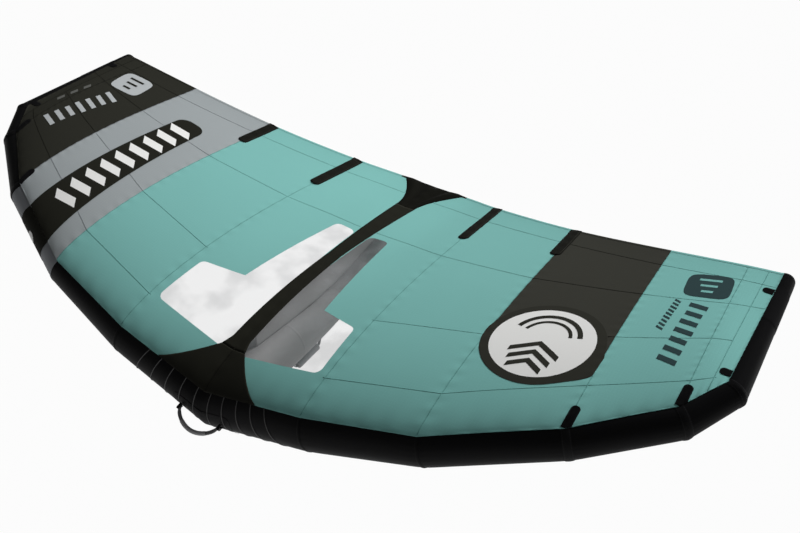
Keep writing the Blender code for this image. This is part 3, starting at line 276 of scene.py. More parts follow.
def makeGrid(name, grid, materials, faceSlots=None, uv=None, keep=None, flip=False, outward=None):
    # An open sheet: keep picks its faces, flip turns them over, and outward says which way they look
    faces = gridFaces(*grid.shape[:2]) if outward is None else facesToward(grid, outward)
    if flip:
        faces = faces[:, ::-1]
    if faceSlots is not None:
        faceSlots = faceSlots.ravel()
    if keep is not None:
        faces = faces[keep.ravel()]
        faceSlots = None if faceSlots is None else faceSlots[keep.ravel()]
    used = np.unique(faces)
    renumber = np.zeros(grid.shape[0] * grid.shape[1], dtype=int)
    renumber[used] = np.arange(len(used))
    flatUv = None if uv is None else uv.reshape(-1, 2)[used]
    return makeMesh(name, grid.reshape(-1, 3)[used], renumber[faces], materials, faceSlots, flatUv)


def makeTube(name, rings, materials, caps=(True, True), uv=None, faceSlots=None, wrapRows=False):
    # Rings joined one to the next, open ends closed by a fan, and turned outwards by the sign of the volume
    rows, columns = rings.shape[:2]
    faces = gridFaces(rows, columns, wrapRows, True)
    points = rings.reshape(-1, 3)
    flatUv = None if uv is None else uv.reshape(-1, 2)
    for wanted, row in zip(caps, (0, rows - 1)):
        if wanted and not wrapRows:
            ring = row * columns + np.arange(columns)
            after = np.roll(ring, -1)
            corners = (after, ring) if row else (ring, after)
            fan = np.stack([*corners, np.full(columns, len(points)), np.full(columns, -1)], axis=1)
            points = np.concatenate([points, rings[row].mean(axis=0)[None]])
            faces = np.concatenate([faces, fan])
            if flatUv is not None:
                flatUv = np.concatenate([flatUv, flatUv[ring].mean(axis=0)[None]])
            if faceSlots is not None:
                faceSlots = np.append(faceSlots, np.full(columns, faceSlots[-1 if row else 0]))
    off = points - points.mean(axis=0)
    a, b, c = off[faces[:, 0]], off[faces[:, 1]], off[faces[:, 2]]
    d = np.where(faces[:, 3:] < 0, a, off[faces[:, 3]])
    volume = np.sum(a * np.cross(b, c)) + np.sum(a * np.cross(c, d))
    if volume < 0.0:
        faces = np.where(faces[:, 3:] < 0, faces[:, [1, 0, 2, 3]], faces[:, [1, 0, 3, 2]])
    return makeMesh(name, points, faces, materials, faceSlots, flatUv)


def addWall(made, thickness):
    # The sheet's lower side, thickness below it
    wall = made.modifiers.new("wall", "SOLIDIFY")
    wall.thickness = thickness
    wall.offset = -1.0
    return made


def settle(made, body, slotName, *replaced):
    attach(made, body)
    if replaced:
        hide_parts(*replaced)


def stacked(*parts):
    # Arrays that broadcast to one shape, put side by side as a last axis
    return np.stack(np.broadcast_arrays(*parts), axis=-1)


def unitRows(vectors):
    return vectors / np.maximum(np.linalg.norm(vectors, axis=-1, keepdims=True), 1e-12)


def smoothTable(at, places, values):
    # Cubic through the table: each inner slope is the harmonic mean of its neighbours, so it can't overshoot
    at = np.asarray(at, float)
    x, y = np.asarray(places, float), np.asarray(values, float)
    width = np.diff(x)
    slope = np.diff(y) / width
    product = slope[:-1] * slope[1:]
    total = np.where(product > 0.0, slope[:-1] + slope[1:], 1.0)
    tangent = np.concatenate([slope[:1], np.where(product > 0.0, 2.0 * product / total, 0.0), slope[-1:]])
    k = np.clip(np.searchsorted(x, at) - 1, 0, len(x) - 2)
    s = np.clip((at - x[k]) / width[k], 0.0, 1.0)
    start = (1.0 + 2.0 * s) * (1.0 - s) ** 2 * y[k] + s * (1.0 - s) ** 2 * width[k] * tangent[k]
    return start + s ** 2 * (3.0 - 2.0 * s) * y[k + 1] + s ** 2 * (s - 1.0) * width[k] * tangent[k + 1]


# The leading edge tube: its kinks from the nose to the rear of the tip, as in the frame
tube = {
    "tipReach": 1.453, "noseAhead": 0.605, "noseHeight": 0.136, "sweep": 1.063, "rise": 0.411,
    "noseRadius": 0.094,
    "xShares": (0.0, 0.267, 0.516, 0.768, 0.938, 1.0, 0.986),
    "yShares": (0.0, 0.013, 0.067, 0.201, 0.363, 0.484, 1.0),
    "zShares": (0.0, 0.228, 0.440, 0.692, 0.841, 0.951, 1.0),
    "radiusShares": (1.0, 0.926, 0.797, 0.649, 0.561, 0.443, 0.329),
    "seamTurns": (38.0, 38.0, 36.0, 18.0, -6.0, -25.0, -16.0),
    "sides": 84, "stepsPerSection": 30, "domeShare": 0.7, "domeSteps": 8,
    "pinch": 0.0007, "pinchReach": 0.020, "puckers": 26, "puckerDepth": 0.0005, "puckerReach": 0.035,
    "puckerRise": 0.006,
}
kinkPoint = np.stack([tube["tipReach"] * np.array(tube["xShares"]),
                      -tube["noseAhead"] + tube["sweep"] * np.array(tube["yShares"]),
                      tube["noseHeight"] + tube["rise"] * np.array(tube["zShares"])], axis=1)
kinkRadius = tube["noseRadius"] * np.array(tube["radiusShares"])
lastKink = len(kinkRadius) - 1
noseReach = kinkPoint[1][0]
sectionRun = unitRows(np.diff(kinkPoint, axis=0))
sectionLength = np.linalg.norm(np.diff(kinkPoint, axis=0), axis=1)
kinkAlong = np.concatenate([[[1.0, 0.0, 0.0]], unitRows(sectionRun[:-1] + sectionRun[1:]), sectionRun[-1:]])
kinkSide = unitRows(np.cross(kinkAlong, upward))
kinkUp = np.cross(kinkSide, kinkAlong)


def tubeSurface(u, turn, lift=0.0):
    # Blend of two kinks' rings: centre + (radius + lift)(up cos turn + side sin turn), mirrored for u < 0
    u, turn, lift = np.broadcast_arrays(np.asarray(u, float), turn, lift)
    index = np.minimum(np.abs(u).astype(int), lastKink - 1)
    part = (np.abs(u) - index)[..., None]
    rings = []
    for k in (index, index + 1):
        reach = (kinkRadius[k] + lift)[..., None]
        way = kinkUp[k] * np.cos(turn)[..., None] + kinkSide[k] * np.sin(turn)[..., None]
        rings.append(kinkPoint[k] + reach * way)
    point = rings[0] * (1.0 - part) + rings[1] * part
    point[..., 0] *= np.where(u < 0.0, -1.0, 1.0)
    return point


def tubeAxis(u):
    return (tubeSurface(u, 0.0) + tubeSurface(u, math.pi)) / 2.0


def seamTurn(u):
    return np.radians(np.interp(np.abs(u), np.arange(len(kinkRadius)), tube["seamTurns"]))


# The canopy as one smooth sheet over chord seams u and shares t of the chord
canopy = {
    "tailReach": 0.735, "tailHeight": 0.242,
    "tailU": (0.0, 0.45, 1.0, 2.0, 3.0, 4.0, 5.0),
    "tailXShares": (0.0, 0.110, 0.234, 0.492, 0.748, 0.926, 1.0),
    "tailYShares": (0.0, 0.069, 0.304, 0.647, 0.901, 0.999, 1.0),
    "tailZShares": (0.0, 0.050, 0.195, 0.475, 0.779, 0.958, 1.0),
    "camber": 0.104, "camberShares": (1.0, 0.770, 0.615, 0.385, 0.270, 0.0),
    "frontPower": 0.7, "rearPower": 1.2,
    "seamGap": 0.0003, "tubeRelief": 0.0016, "normalStep": 0.004, "tipU": 5.0,
    "clothLift": 0.0006, "hem": 0.012, "hemThickness": 0.0026, "hemStop": 0.002,
}


def seamPoint(u):
    return tubeSurface(u, seamTurn(u), canopy["seamGap"])


tipSeam = seamPoint(float(lastKink))


def tailPoint(u):
    # Trailing edge: x, y and z run from the centre to the tip by their own tables
    starts = (0.0, canopy["tailReach"], canopy["tailHeight"])
    shares = (canopy["tailXShares"], canopy["tailYShares"], canopy["tailZShares"])
    x, y, z = [start + (end - start) * smoothTable(np.abs(u), canopy["tailU"], share)
               for start, end, share in zip(starts, tipSeam, shares)]
    return np.stack([x * np.where(u < 0.0, -1.0, 1.0), y, z], axis=-1)


def clearOfTube(point, u, t):
    # A point nearer to its section's axis than radius + relief moves straight out to that distance
    mirror = stacked(np.where(u < 0.0, -1.0, 1.0), 1.0, 1.0)
    tip = lastKink - 1
    own = np.minimum(np.abs(u).astype(int), tip)
    for section in (own, np.full_like(own, tip)):
        start, run = kinkPoint[section] * mirror, sectionRun[section] * mirror
        along = np.sum((point - start) * run, axis=-1)
        used = (section == own) | ((own == tip - 1) & (along >= 0.0))
        share = np.clip(along / sectionLength[section], 0.0, 1.0)
        radius = kinkRadius[section] * (1.0 - share) + kinkRadius[section + 1] * share
        away = point - start - run * along[..., None]
        short = radius + canopy["seamGap"] + canopy["tubeRelief"] - np.linalg.norm(away, axis=-1)
        push = np.where(used & (short > 0.0) & (t > 0.0), short, 0.0)
        point = point + unitRows(away) * push[..., None]
    return point


def clothBase(u, t):
    # Straight chord from seam to tail, raised by camber times (t/p)^a ((1-t)/(1-p))^b, kept off the tube
    u, t = np.broadcast_arrays(np.asarray(u, float), np.clip(t, 0.0, 1.0))
    share = t[..., None]
    point = seamPoint(u) * (1.0 - share) + tailPoint(u) * share
    peak = canopy["frontPower"] / (canopy["frontPower"] + canopy["rearPower"])
    shape = (t / peak) ** canopy["frontPower"] * ((1.0 - t) / (1.0 - peak)) ** canopy["rearPower"]
    height = smoothTable(np.abs(u), np.arange(len(canopy["camberShares"])), canopy["camberShares"])
    point[..., 2] += canopy["camber"] * height * shape
    return clearOfTube(point, u, t)


def clothSurface(u, t, lift):
    # The sheet, moved along its own upward normal, which comes from small steps both ways
    u, t = np.broadcast_arrays(np.asarray(u, float), np.asarray(t, float))
    step, tip = canopy["normalStep"], canopy["tipU"]
    near = np.clip(t, step, 1.0 - step)
    along = clothBase(u, near + step) - clothBase(u, near - step)
    across = clothBase(np.minimum(u + step, tip), near) - clothBase(np.maximum(u - step, -tip), near)
    normal = unitRows(np.cross(across, along))
    return clothBase(u, t) + normal * np.asarray(lift)[..., None]


ripples = {
    # Puckers beside the sewn seams, and shallow pleats where the cloth leaves the tube
    "seamDepth": 0.0005, "seamReach": 0.06, "seamWaves": 138.0, "tubeDepth": 0.0012, "tubeReach": 0.03,
    "tubeRise": 0.004, "tubeWaves": 29.0,
}


def sewnRipples(u, t):
    # Seam waves times a bell round each whole u, plus tube waves that rise and die away along the chord
    seamNear = np.exp(-((u - np.round(u)) / ripples["seamReach"]) ** 2)
    tubeNear = np.exp(-t / ripples["tubeReach"]) * (1.0 - np.exp(-t / ripples["tubeRise"]))
    seamWave = np.sin(t * ripples["seamWaves"] + 5.0 * np.round(u))
    return ripples["seamDepth"] * seamNear * seamWave + ripples["tubeDepth"] * tubeNear * np.sin(
        u * ripples["tubeWaves"])


def sheetSurface(u, t, lift=0.0):
    # The finished sheet's top with its ripples, and lift above it
    u, t = np.asarray(u, float), np.asarray(t, float)
    return clothSurface(u, t, canopy["clothLift"] + sewnRipples(u, t) + lift)


def overPlan(x, y):
    # The (u, t) that lies over a plan point: u is stepped until the chord through it passes x
    u = x / tube["tipReach"] * canopy["tipU"]
    for _ in range(30):
        front, rear = seamPoint(u), tailPoint(u)
        t = (y - front[..., 1]) / (rear[..., 1] - front[..., 1])
        u = u + (x - front[..., 0] * (1.0 - t) - rear[..., 0] * t) / (tube["tipReach"] * 0.3)
        u = np.clip(u, -canopy["tipU"], canopy["tipU"])
    return u, np.clip(t, 0.0, 1.0)


def planOf(u, t):
    return clothBase(u, t)[..., :2]


# The black centre: half widths from the nose patch along the band to the tail fan
centre = {
    "patchHalf": 0.216, "patchPower": 1.5, "bandFront": 0.050, "shoulder": 0.036, "shoulderShare": 0.04,
    "bandMiddle": 0.026, "bandMiddleShare": 0.55, "bandRear": 0.042,
    "fanLength": 0.235, "fanHalf": 0.156, "fanPower": 1.8, "pleat": 0.011,
    "windowSetback": 0.135, "windowCorner": 0.024, "lift": 0.0009, "thickness": 0.0006,
    "seamLap": 0.001, "ridgeRun": 0.02, "ridgeHalf": 0.0020, "ridgeRise": 0.0005,
}
noseSeamY = float(seamPoint(0.0)[1])
bandFrontY = noseSeamY + centre["windowSetback"] + centre["windowCorner"] / 2.0
bandRearY = canopy["tailReach"] - centre["fanLength"]


def centreHalf(y):
    # Nose patch narrows by a root, the band runs straight between its widths, the fan opens by a power
    nose = float(seamPoint(0.5)[1])
    patchPart = np.clip((y - nose) / (bandFrontY - nose), 0.0, 1.0)
    patch = centre["patchHalf"] + (centre["bandFront"] - centre["patchHalf"]) * patchPart ** (
        1.0 / centre["patchPower"])
    bandPart = (y - bandFrontY) / (bandRearY - bandFrontY)
    band = np.interp(bandPart, (0.0, centre["shoulderShare"], centre["bandMiddleShare"], 1.0),
                     (centre["bandFront"], centre["shoulder"], centre["bandMiddle"], centre["bandRear"]))
    fanPart = np.clip((y - bandRearY) / centre["fanLength"], 0.0, 1.0)
    fan = centre["bandRear"] + (centre["fanHalf"] - centre["bandRear"]) * fanPart ** centre["fanPower"]
    return np.where(y < bandFrontY, patch, np.where(y < bandRearY, band, fan))


# The clear windows: one outline in plan, mirrored, with the centre band over its inner border
window = {
    "wideLength": 0.210, "longLength": 0.740, "seamMargin": 0.031, "rearMargin": 0.038,
    "neckFront": 0.172, "neckRear": 0.116, "frontSkew": 0.025, "stepSkew": 0.042, "corner": 0.024,
    "filmLap": 0.010, "filmLift": 0.0002, "edgeStep": 0.0002,
    # Where the centre band covers each pane's inner border: front, middle and rear
    "innerX": (0.034, 0.024, 0.034),
}


def firstSeamX(y):
    front, rear = seamPoint(1.0), tailPoint(1.0)
    return float(np.interp(y, (front[1], rear[1]), (front[0], rear[0])))


def windowCorners():
    nose = noseSeamY + centre["windowSetback"]
    wide, tail = nose + window["wideLength"], nose + window["longLength"]
    return np.array([
        (firstSeamX(nose) - window["seamMargin"], nose + window["frontSkew"]),
        (firstSeamX(wide) - window["rearMargin"], wide + window["frontSkew"]),
        (window["neckFront"], wide + window["frontSkew"] + window["stepSkew"]),
        (window["neckRear"], tail),
        (window["innerX"][2], tail),
        (window["innerX"][1], (nose + tail) / 2.0),
        (window["innerX"][0], nose),
    ])


def insetCorners(corners, inset):
    # Each corner moves to where its two edges, each shifted inwards by inset, meet
    before = unitRows(corners - np.roll(corners, 1, axis=0))
    after = unitRows(np.roll(corners, -1, axis=0) - corners)
    inward = [np.stack([-way[:, 1], way[:, 0]], axis=1) for way in (before, after)]
    share = 1.0 + np.sum(inward[0] * inward[1], axis=1, keepdims=True)
    return corners + inset * (inward[0] + inward[1]) / share


def windowDistance(x, y):
    # Signed distance to the rounded outline, negative inside: the inset polygon's distance less the corner
    ring = insetCorners(windowCorners(), window["corner"])
    place = np.stack([np.abs(x), np.asarray(y, float)], axis=-1)
    nearest = np.full(place.shape[:-1], 10.0)
    inside = np.zeros(place.shape[:-1], dtype=bool)
    for a, b in zip(ring, np.roll(ring, -1, axis=0)):
        edge = b - a
        share = np.clip(np.sum((place - a) * edge, axis=-1) / np.sum(edge * edge), 0.0, 1.0)
        nearest = np.minimum(nearest, np.linalg.norm(place - a - edge * share[..., None], axis=-1))
        crosses = (a[1] > place[..., 1]) != (b[1] > place[..., 1])
        rise = edge[1] if edge[1] != 0.0 else 1.0
        inside ^= crosses & (place[..., 0] < a[0] + (place[..., 1] - a[1]) * edge[0] / rise)
    return np.where(inside, -nearest, nearest) - window["corner"]


# The sheet's own grid: finer beside the windows and towards the tube
sheet = {
    "innerColumns": 76, "outerColumns": 34, "frontRows": 26, "windowRows": 118, "rearRows": 34,
    "frontShare": 0.08, "rearShare": 0.68, "frontPower": 1.7,
    "underLap": 0.006, "barFoot": 0.006, "barX": (-0.975, -0.835),
}
clothSlots = ("tealRipstop", "greyRipstop", "blackRipstop", "darkRipstop")
roundel = {
    # The ring bulges out by a size at a turn, with a spread, as far as the dark band's border
    "centre": (0.906, -0.142), "disc": 0.157, "ring": 0.185, "lift": 0.0008, "discRise": 0.0005,
    "markRise": 0.0010, "bulge": (0.030, -21.0, 19.0), "bulgeLimit": 0.1965,
    # The dark cloth starts at the roundel's middle, and a little ahead of it beside the bulge
    "bulgeU": 2.5, "aheadShare": 0.04,
    "chevrons": 3, "chevronHalf": 0.078, "chevronStep": 0.012, "chevronPitch": 0.040, "chevronSlope": 0.62,
    "chevronWidth": 0.021, "chevronDrop": 0.002,
    "arcs": (0.108, 0.078), "arcRise": 0.022, "arcInner": 0.86, "arcTurns": (14.0, 166.0),
}


def sheetLines():
    inner = np.linspace(0.0, 1.0, sheet["innerColumns"] + 1)
    outer = [k + np.linspace(0.0, 1.0, sheet["outerColumns"] + 1)[1:] for k in range(1, int(canopy["tipU"]))]
    half = np.concatenate([inner, *outer])
    columns = np.concatenate([-half[:0:-1], half])
    front = sheet["frontShare"] * np.linspace(0.0, 1.0, sheet["frontRows"]) ** sheet["frontPower"]
    middle = np.linspace(sheet["frontShare"], sheet["rearShare"], sheet["windowRows"])[1:]
    rear = np.linspace(sheet["rearShare"], 1.0, sheet["rearRows"])[1:]
    return columns, np.concatenate([front, middle, rear])


def faceMiddles(values):
    return (values[:-1, :-1] + values[1:, :-1] + values[1:, 1:] + values[:-1, 1:]) / 4.0


def slideToWindow(place):
    # Points step along the distance's slope until they lie on the window's outline
    step = window["edgeStep"]
    for _ in range(4):
        x, y = place.T
        d = windowDistance(x, y)
        slopeX = windowDistance(x + step, y) - windowDistance(x - step, y)
        slopeY = windowDistance(x, y + step) - windowDistance(x, y - step)
        slope = np.stack([slopeX, slopeY], axis=-1) / (2.0 * step)
        place = place - slope * (d / np.maximum(np.sum(slope * slope, axis=-1), 0.3))[:, None]
    return place


def clothKind(u, t):
    # Which cloth lies at (u, t): 0 teal, 1 grey, 2 black, 3 the dark band behind the roundel
    roundelT = float(overPlan(*np.array(roundel["centre"]))[1])
    kind = np.where(u < -3.0, 2, np.where(u < -2.0, 1, 0))
    darkFrom = np.where(u > roundel["bulgeU"], roundelT - roundel["aheadShare"], roundelT)
    return np.where((u > 2.0) & (u < 3.0) & (t > darkFrom), 3, kind)


def makeCanopy():
    columns, rows = sheetLines()
    u, t = np.meshgrid(columns, rows, indexing="ij")
    plan = planOf(u, t)
    x, y = faceMiddles(plan[..., 0]), faceMiddles(plan[..., 1])
    distance = windowDistance(x, y)
    gone = distance < 0.0
    slots = clothKind(faceMiddles(u), faceMiddles(t))
    # The cloth is black under the centre pieces, and where the black bar meets the tube
    under = np.abs(x) < centreHalf(y) - sheet["underLap"]
    under |= (faceMiddles(t) < sheet["barFoot"]) & (x > sheet["barX"][0]) & (x < sheet["barX"][1])
    slots = np.where(under, 2, slots)
    # Corners shared by kept and cut squares slide onto the window's true outline
    around = np.zeros((4,) + u.shape, dtype=int)
    for k, (a, b) in enumerate(((0, 0), (1, 0), (0, 1), (1, 1))):
        around[k, a:a + gone.shape[0], b:b + gone.shape[1]] = np.where(gone, 2, 1)
    onEdge = (around == 2).any(axis=0) & (around == 1).any(axis=0)
    place = slideToWindow(plan[onEdge])
    cutU, cutT = u.copy(), t.copy()
    cutU[onEdge], cutT[onEdge] = overPlan(place[:, 0], place[:, 1])
    made = makeGrid("canopySheet", sheetSurface(cutU, cutT), clothSlots, faceSlots=slots, uv=plan, keep=~gone,
                    outward=upward)
    panels = [f"canopy_panel_{k}_{side}" for k in range(1, 6) for side, _ in sides]
    settle(made, "wing", "teal_cloth", *panels)
    film = distance < window["filmLap"]
    filmGrid = clothSurface(u, t, window["filmLift"])
    for side, way in sides:
        kept = film & (faceMiddles(u) * way > 0.0)
        pane = makeGrid(f"windowFilm_{side}", filmGrid, "windowFilm", uv=plan, keep=kept,
                        outward=upward)
        settle(pane, "wing", "window_film", f"window_{side}")


makeCanopy()
print("canopy and windows made")


# Pieces laid on the canopy: a centre line in plan, a half width along it, and a small lift

def lineLength(line):
    return np.concatenate([[0.0], np.cumsum(np.linalg.norm(np.diff(line, axis=0), axis=1))])


def layStrip(name, line, half, lift, materials, slotName, replaced=(), across=3, thickness=0.0006, slots=None,
             keep=None, bulge=0.0, pleat=0.0):
    # Points at line + normal * half * s for s from -1 to 1, put on the sheet and raised by lift, a bulge across
    # the strip and pleats that grow along it
    line, half = np.asarray(line, float), np.asarray(half, float)
    run = unitRows(np.gradient(line, axis=0))
    normal = np.stack([run[:, 1], -run[:, 0]], axis=1)
    s = np.linspace(-1.0, 1.0, across)
    plan = line[:, None, :] + normal[:, None, :] * (half[:, None] * s)[..., None]
    u, t = overPlan(plan[..., 0], plan[..., 1])
    swell = bulge * (1.0 - s ** 4)[None, :] * ((half / half.max()) ** 0.35)[:, None]
    grown = lineLength(line) / lineLength(line)[-1]
    pleats = (grown ** 0.7 * (1.0 - grown ** 8))[:, None] * (0.5 + 0.5 * np.cos(s * 9.0))[None, :]
    swell = swell + pleat * pleats
    grid = sheetSurface(u, t, lift + swell)
    uv = stacked(lineLength(line)[:, None], half[:, None] * (1.0 - np.abs(s)))
    made = makeGrid(name, grid, materials, faceSlots=slots, uv=uv, keep=keep, outward=upward)
    if thickness:
        addWall(made, thickness)
    settle(made, "wing", slotName, *replaced)


def roundedEnd(line, width, share):
    # Half width near the line's end follows a quarter circle, its radius a share of the width
    length, radius = lineLength(line), width * share
    inset = np.clip(1.0 - (length[-1] - length) / radius, 0.0, 1.0)
    return np.maximum(width / 2.0 - radius * (1.0 - np.sqrt(1.0 - inset ** 2)), 1e-5)


def crowdedEnd(count, power=1.6):
    # Shares from 0 to 1 that crowd towards the end
    return 1.0 - (1.0 - np.linspace(0.0, 1.0, count)) ** power


def centreLine(front, rear, count):
    return stacked(0.0, np.linspace(front, rear, count))


def makeCentre():
    lift, thick = centre["lift"], centre["thickness"]
    stretches = (("nosePatch", "nose_patch", noseSeamY - centre["seamLap"], bandFrontY, 48, 41),
                 ("centreBand", "strut_band", bandFrontY, bandRearY, 90, 9),
                 ("tailFan", "tail_fan", bandRearY, canopy["tailReach"], 60, 49))
    for name, node, front, rear, count, across in stretches:
        line = centreLine(front, rear, count)
        fan = name == "tailFan"
        # The tail fan takes the darker cloth: painted shade of its hollow
        layStrip(name, line, centreHalf(line[:, 1]), lift, "fanCloth" if fan else "patchCloth",
                 "black_cloth", (node,), across=across, thickness=thick, pleat=centre["pleat"] if fan else 0.0)
    ridge = centreLine(noseSeamY, bandFrontY + centre["ridgeRun"], 60)
    layStrip("nosePatchSeam", ridge, np.full(60, centre["ridgeHalf"]), lift + centre["ridgeRise"],
             "blackSeam", "black_cloth")


seams = {
    "halfWidth": 0.0013, "lift": 0.0004, "depth": 0.0009, "steps": 150, "stop": 0.004, "luffU": 4.55,
    "chordShares": (0.004, 0.994),
    # How far back each spanwise seam lies on the chord seams 1 to 5
    "spanShares": ((0.907, 0.907, 0.886, 0.868, 0.850), (0.654, 0.664, 0.671, 0.660, 0.640),
                   (0.317, 0.362, 0.406, 0.395, 0.330), (0.105, 0.126, 0.166, 0.130, 0.060)),
    # Below the windows their own front edge takes the third seam's place
    "startU": (0.05, 0.05, 0.98, 0.98), "endU": (4.98, 4.98, 4.55, 4.60),
}


def layLine(name, u, t):
    # A narrow sewn line along given (u, t), left out where it would cross the centre or a window
    line = planOf(u, t)
    middle = (line[1:] + line[:-1]) / 2.0
    clear = np.abs(middle[:, 0]) > centreHalf(middle[:, 1]) + seams["stop"]
    clear &= windowDistance(middle[:, 0], middle[:, 1]) > seams["stop"] / 2.0
    clear &= np.linalg.norm(middle - roundel["centre"], axis=1) > roundel["ring"]
    slots = clothKind((u[1:] + u[:-1]) / 2.0, (t[1:] + t[:-1]) / 2.0)
    across = 3
    layStrip(name, line, np.full(len(u), seams["halfWidth"]), seams["lift"],
             ("tealSeam", "greySeam", "blackSeam", "blackSeam"), "teal_cloth", across=across,
             thickness=seams["depth"], slots=np.repeat(slots, across - 1), keep=np.repeat(clear, across - 1))


def makeSeams():
    steps = seams["steps"]
    t = np.linspace(*seams["chordShares"], steps)
    for side, way in sides:
        for k in (1, 2, 3, 4):
            layLine(f"chordSeam_{k}_{side}", np.full(steps, k * way), t)
        layLine(f"luffSeam_{side}", np.full(steps, seams["luffU"] * way), t)
        for k, shares in enumerate(seams["spanShares"]):
            u = np.linspace(seams["startU"][k], seams["endU"][k], steps * 2)
            layLine(f"spanSeam_{k + 1}_{side}", u * way, np.interp(u, np.arange(1.0, 6.0), shares))


pockets = {
    "width": 0.043, "lengths": (("inner", 0.300), ("outer", 0.205)), "endGap": 0.008, "lift": 0.0014,
    "bulge": 0.0038, "wall": 0.0008, "endRound": 0.42, "steps": 60, "tailLap": 0.002, "tailLift": 0.0026,
}


def chordLineFromTail(u, length, setback, shares):
    # Plan line along a chord seam, from setback ahead of the trailing edge to length ahead of it
    rear, front = clothBase(u, 1.0)[:2], clothBase(u, 0.5)[:2]
    way = (front - rear) / np.linalg.norm(front - rear)
    return rear + way * (setback + (length - setback) * shares)[:, None]


def makePockets():
    setback, width = canopy["hem"] + pockets["endGap"], pockets["width"]
    for side, way in sides:
        for k, (name, length) in enumerate(pockets["lengths"]):
            line = chordLineFromTail((k + 1.0) * way, length, setback, crowdedEnd(pockets["steps"]))
            half = roundedEnd(line, width, pockets["endRound"])
            layStrip(f"{name}BattenPocket_{side}", line, half, pockets["lift"], "blackTape", "black_cloth",
                     (f"{name}_batten_pocket_{side}",), across=13, thickness=pockets["wall"],
                     bulge=pockets["bulge"])
            # The tape that holds the batten runs on over the hem
            tail = chordLineFromTail((k + 1.0) * way, setback + pockets["tailLap"], 0.001,
                                     np.linspace(0.0, 1.0, 8))
            layStrip(f"{name}BattenTail_{side}", tail, np.full(8, width / 2.0), pockets["tailLift"],
                     "blackTape", "black_cloth", across=9, thickness=pockets["wall"])


tabs = {
    "length": 0.072, "width": 0.027, "tipLength": 0.034, "tipShares": (0.058, 0.80), "lift": 0.0014,
    "thickness": 0.0010, "endRound": 0.45, "steps": 36,
}


def makeTabs():
    width, share = tabs["width"], crowdedEnd(tabs["steps"])
    for side, way in sides:
        places = [(f"kinkTab_{k + 1}_{side}", f"kink_tab_{k + 1}_{side}", clothBase(seam * way, 0.0)[:2],
                   np.array((0.0, 1.0)) * tabs["length"]) for k, seam in enumerate((3.0, 4.0))]
        places += [(f"tipTab_{name}_{side}", f"tip_tab_{name}_{side}", clothBase(canopy["tipU"] * way, at)[:2],
                    np.array((-way, 0.0)) * tabs["tipLength"])
                   for name, at in zip(("front", "rear"), tabs["tipShares"])]
        for name, node, base, reach in places:
            line = base + reach * share[:, None]
            half = roundedEnd(line, width, tabs["endRound"])
            layStrip(name, line, half, tabs["lift"], "kinkTape", "black_cloth", (node,), across=9,
                     thickness=tabs["thickness"])


def makeHem():
    # A folded tape round the trailing edge: over the top, round the edge and back below
    end = canopy["tipU"] - canopy["hemStop"]
    columns = np.linspace(-end, end, 401)
    chord = np.linalg.norm(tailPoint(columns) - seamPoint(columns), axis=-1)
    inner = 1.0 - canopy["hem"] / chord
    half = canopy["hemThickness"] / 2.0
    # Share of the hem's depth, and share of its half thickness
    profile = ((0.0, 0.35), (0.15, 0.9), (0.92, 1.1), (1.0, 0.8), (1.0, 0.0), (0.92, -0.55), (0.5, -0.6),
               (0.0, -0.4))
    layers = [clothSurface(columns, inner + (1.0 - inner) * share, half * height) for share, height in profile]
    middle = (columns[1:] + columns[:-1]) / 2.0
    slots = clothKind(middle, np.ones_like(middle))
    slots = np.where(np.abs(planOf(middle, 1.0)[:, 0]) < centre["fanHalf"], 2, slots)
    made = makeTube("trailingHem", np.stack(layers, axis=1), clothSlots,
                    faceSlots=np.repeat(slots, len(profile)))
    settle(made, "wing", "black_cloth", "trailing_edge_hem")


makeCentre()
makeSeams()
makePockets()
makeTabs()
makeHem()
print("canopy trim laid")


# Prints: flat shapes in plan, in generic designs, each laid as a grid just above the sheet

def joinSheets(name, grids, look, slotName, outward=upward):
    # Several separate grids become one piece
    points, faces, count = [], [], 0
    for grid in grids:
        points.append(grid.reshape(-1, 3))
        faces.append(facesToward(grid, outward) + count)
        count += grid.shape[0] * grid.shape[1]
    made = makeMesh(name, np.concatenate(points), np.concatenate(faces), look)
    settle(made, "wing", slotName)


def layPlans(name, plans, lift, look, slotName):
    # Plan grids laid on the sheet, at one lift above it
    grids = [sheetSurface(*overPlan(plan[..., 0], plan[..., 1]), lift) for plan in plans]
    joinSheets(name, grids, look, slotName)


def turnedWay(degrees):
    angle = math.radians(degrees)
    return np.array((math.cos(angle), math.sin(angle))), np.array((-math.sin(angle), math.cos(angle)))


def ringPlan(middle, radius, inner=0.0, power=2.0, turn=0.0, start=-180.0, end=180.0, rows=14, steps=97,
             bulge=(0.0, 0.0, 1.0), limit=10.0):
    # Polar grid: r = radius (|cos|^p + |sin|^p)^(-1/p) + size exp(-((a - a0) / spread)^2), at most limit / cos
    degrees = np.linspace(start, end, steps)
    angle = np.radians(degrees)
    reach = radius * (np.abs(np.cos(angle)) ** power + np.abs(np.sin(angle)) ** power) ** (-1.0 / power)
    reach = reach + bulge[0] * np.exp(-((degrees - bulge[1]) / bulge[2]) ** 2)
    reach = np.minimum(reach, limit / np.maximum(np.cos(angle), 0.01))
    share = np.linspace(max(inner, 0.0005), 1.0, rows)
    along, across = turnedWay(turn)
    spoke = np.cos(angle)[:, None] * along + np.sin(angle)[:, None] * across
    return np.asarray(middle) + (reach[:, None] * share)[..., None] * spoke[:, None, :]


def barPlan(middle, length, width, turn, skew=0.0, rows=12, columns=5):
    # Slanted bar: length runs at turn degrees from +X, width across it, and skew slides one side along
    along, across = turnedWay(turn)
    a, b = np.meshgrid(np.linspace(-0.5, 0.5, rows), np.linspace(-0.5, 0.5, columns), indexing="ij")
    return np.asarray(middle) + (a * length + b * skew)[..., None] * along + (b * width)[..., None] * across


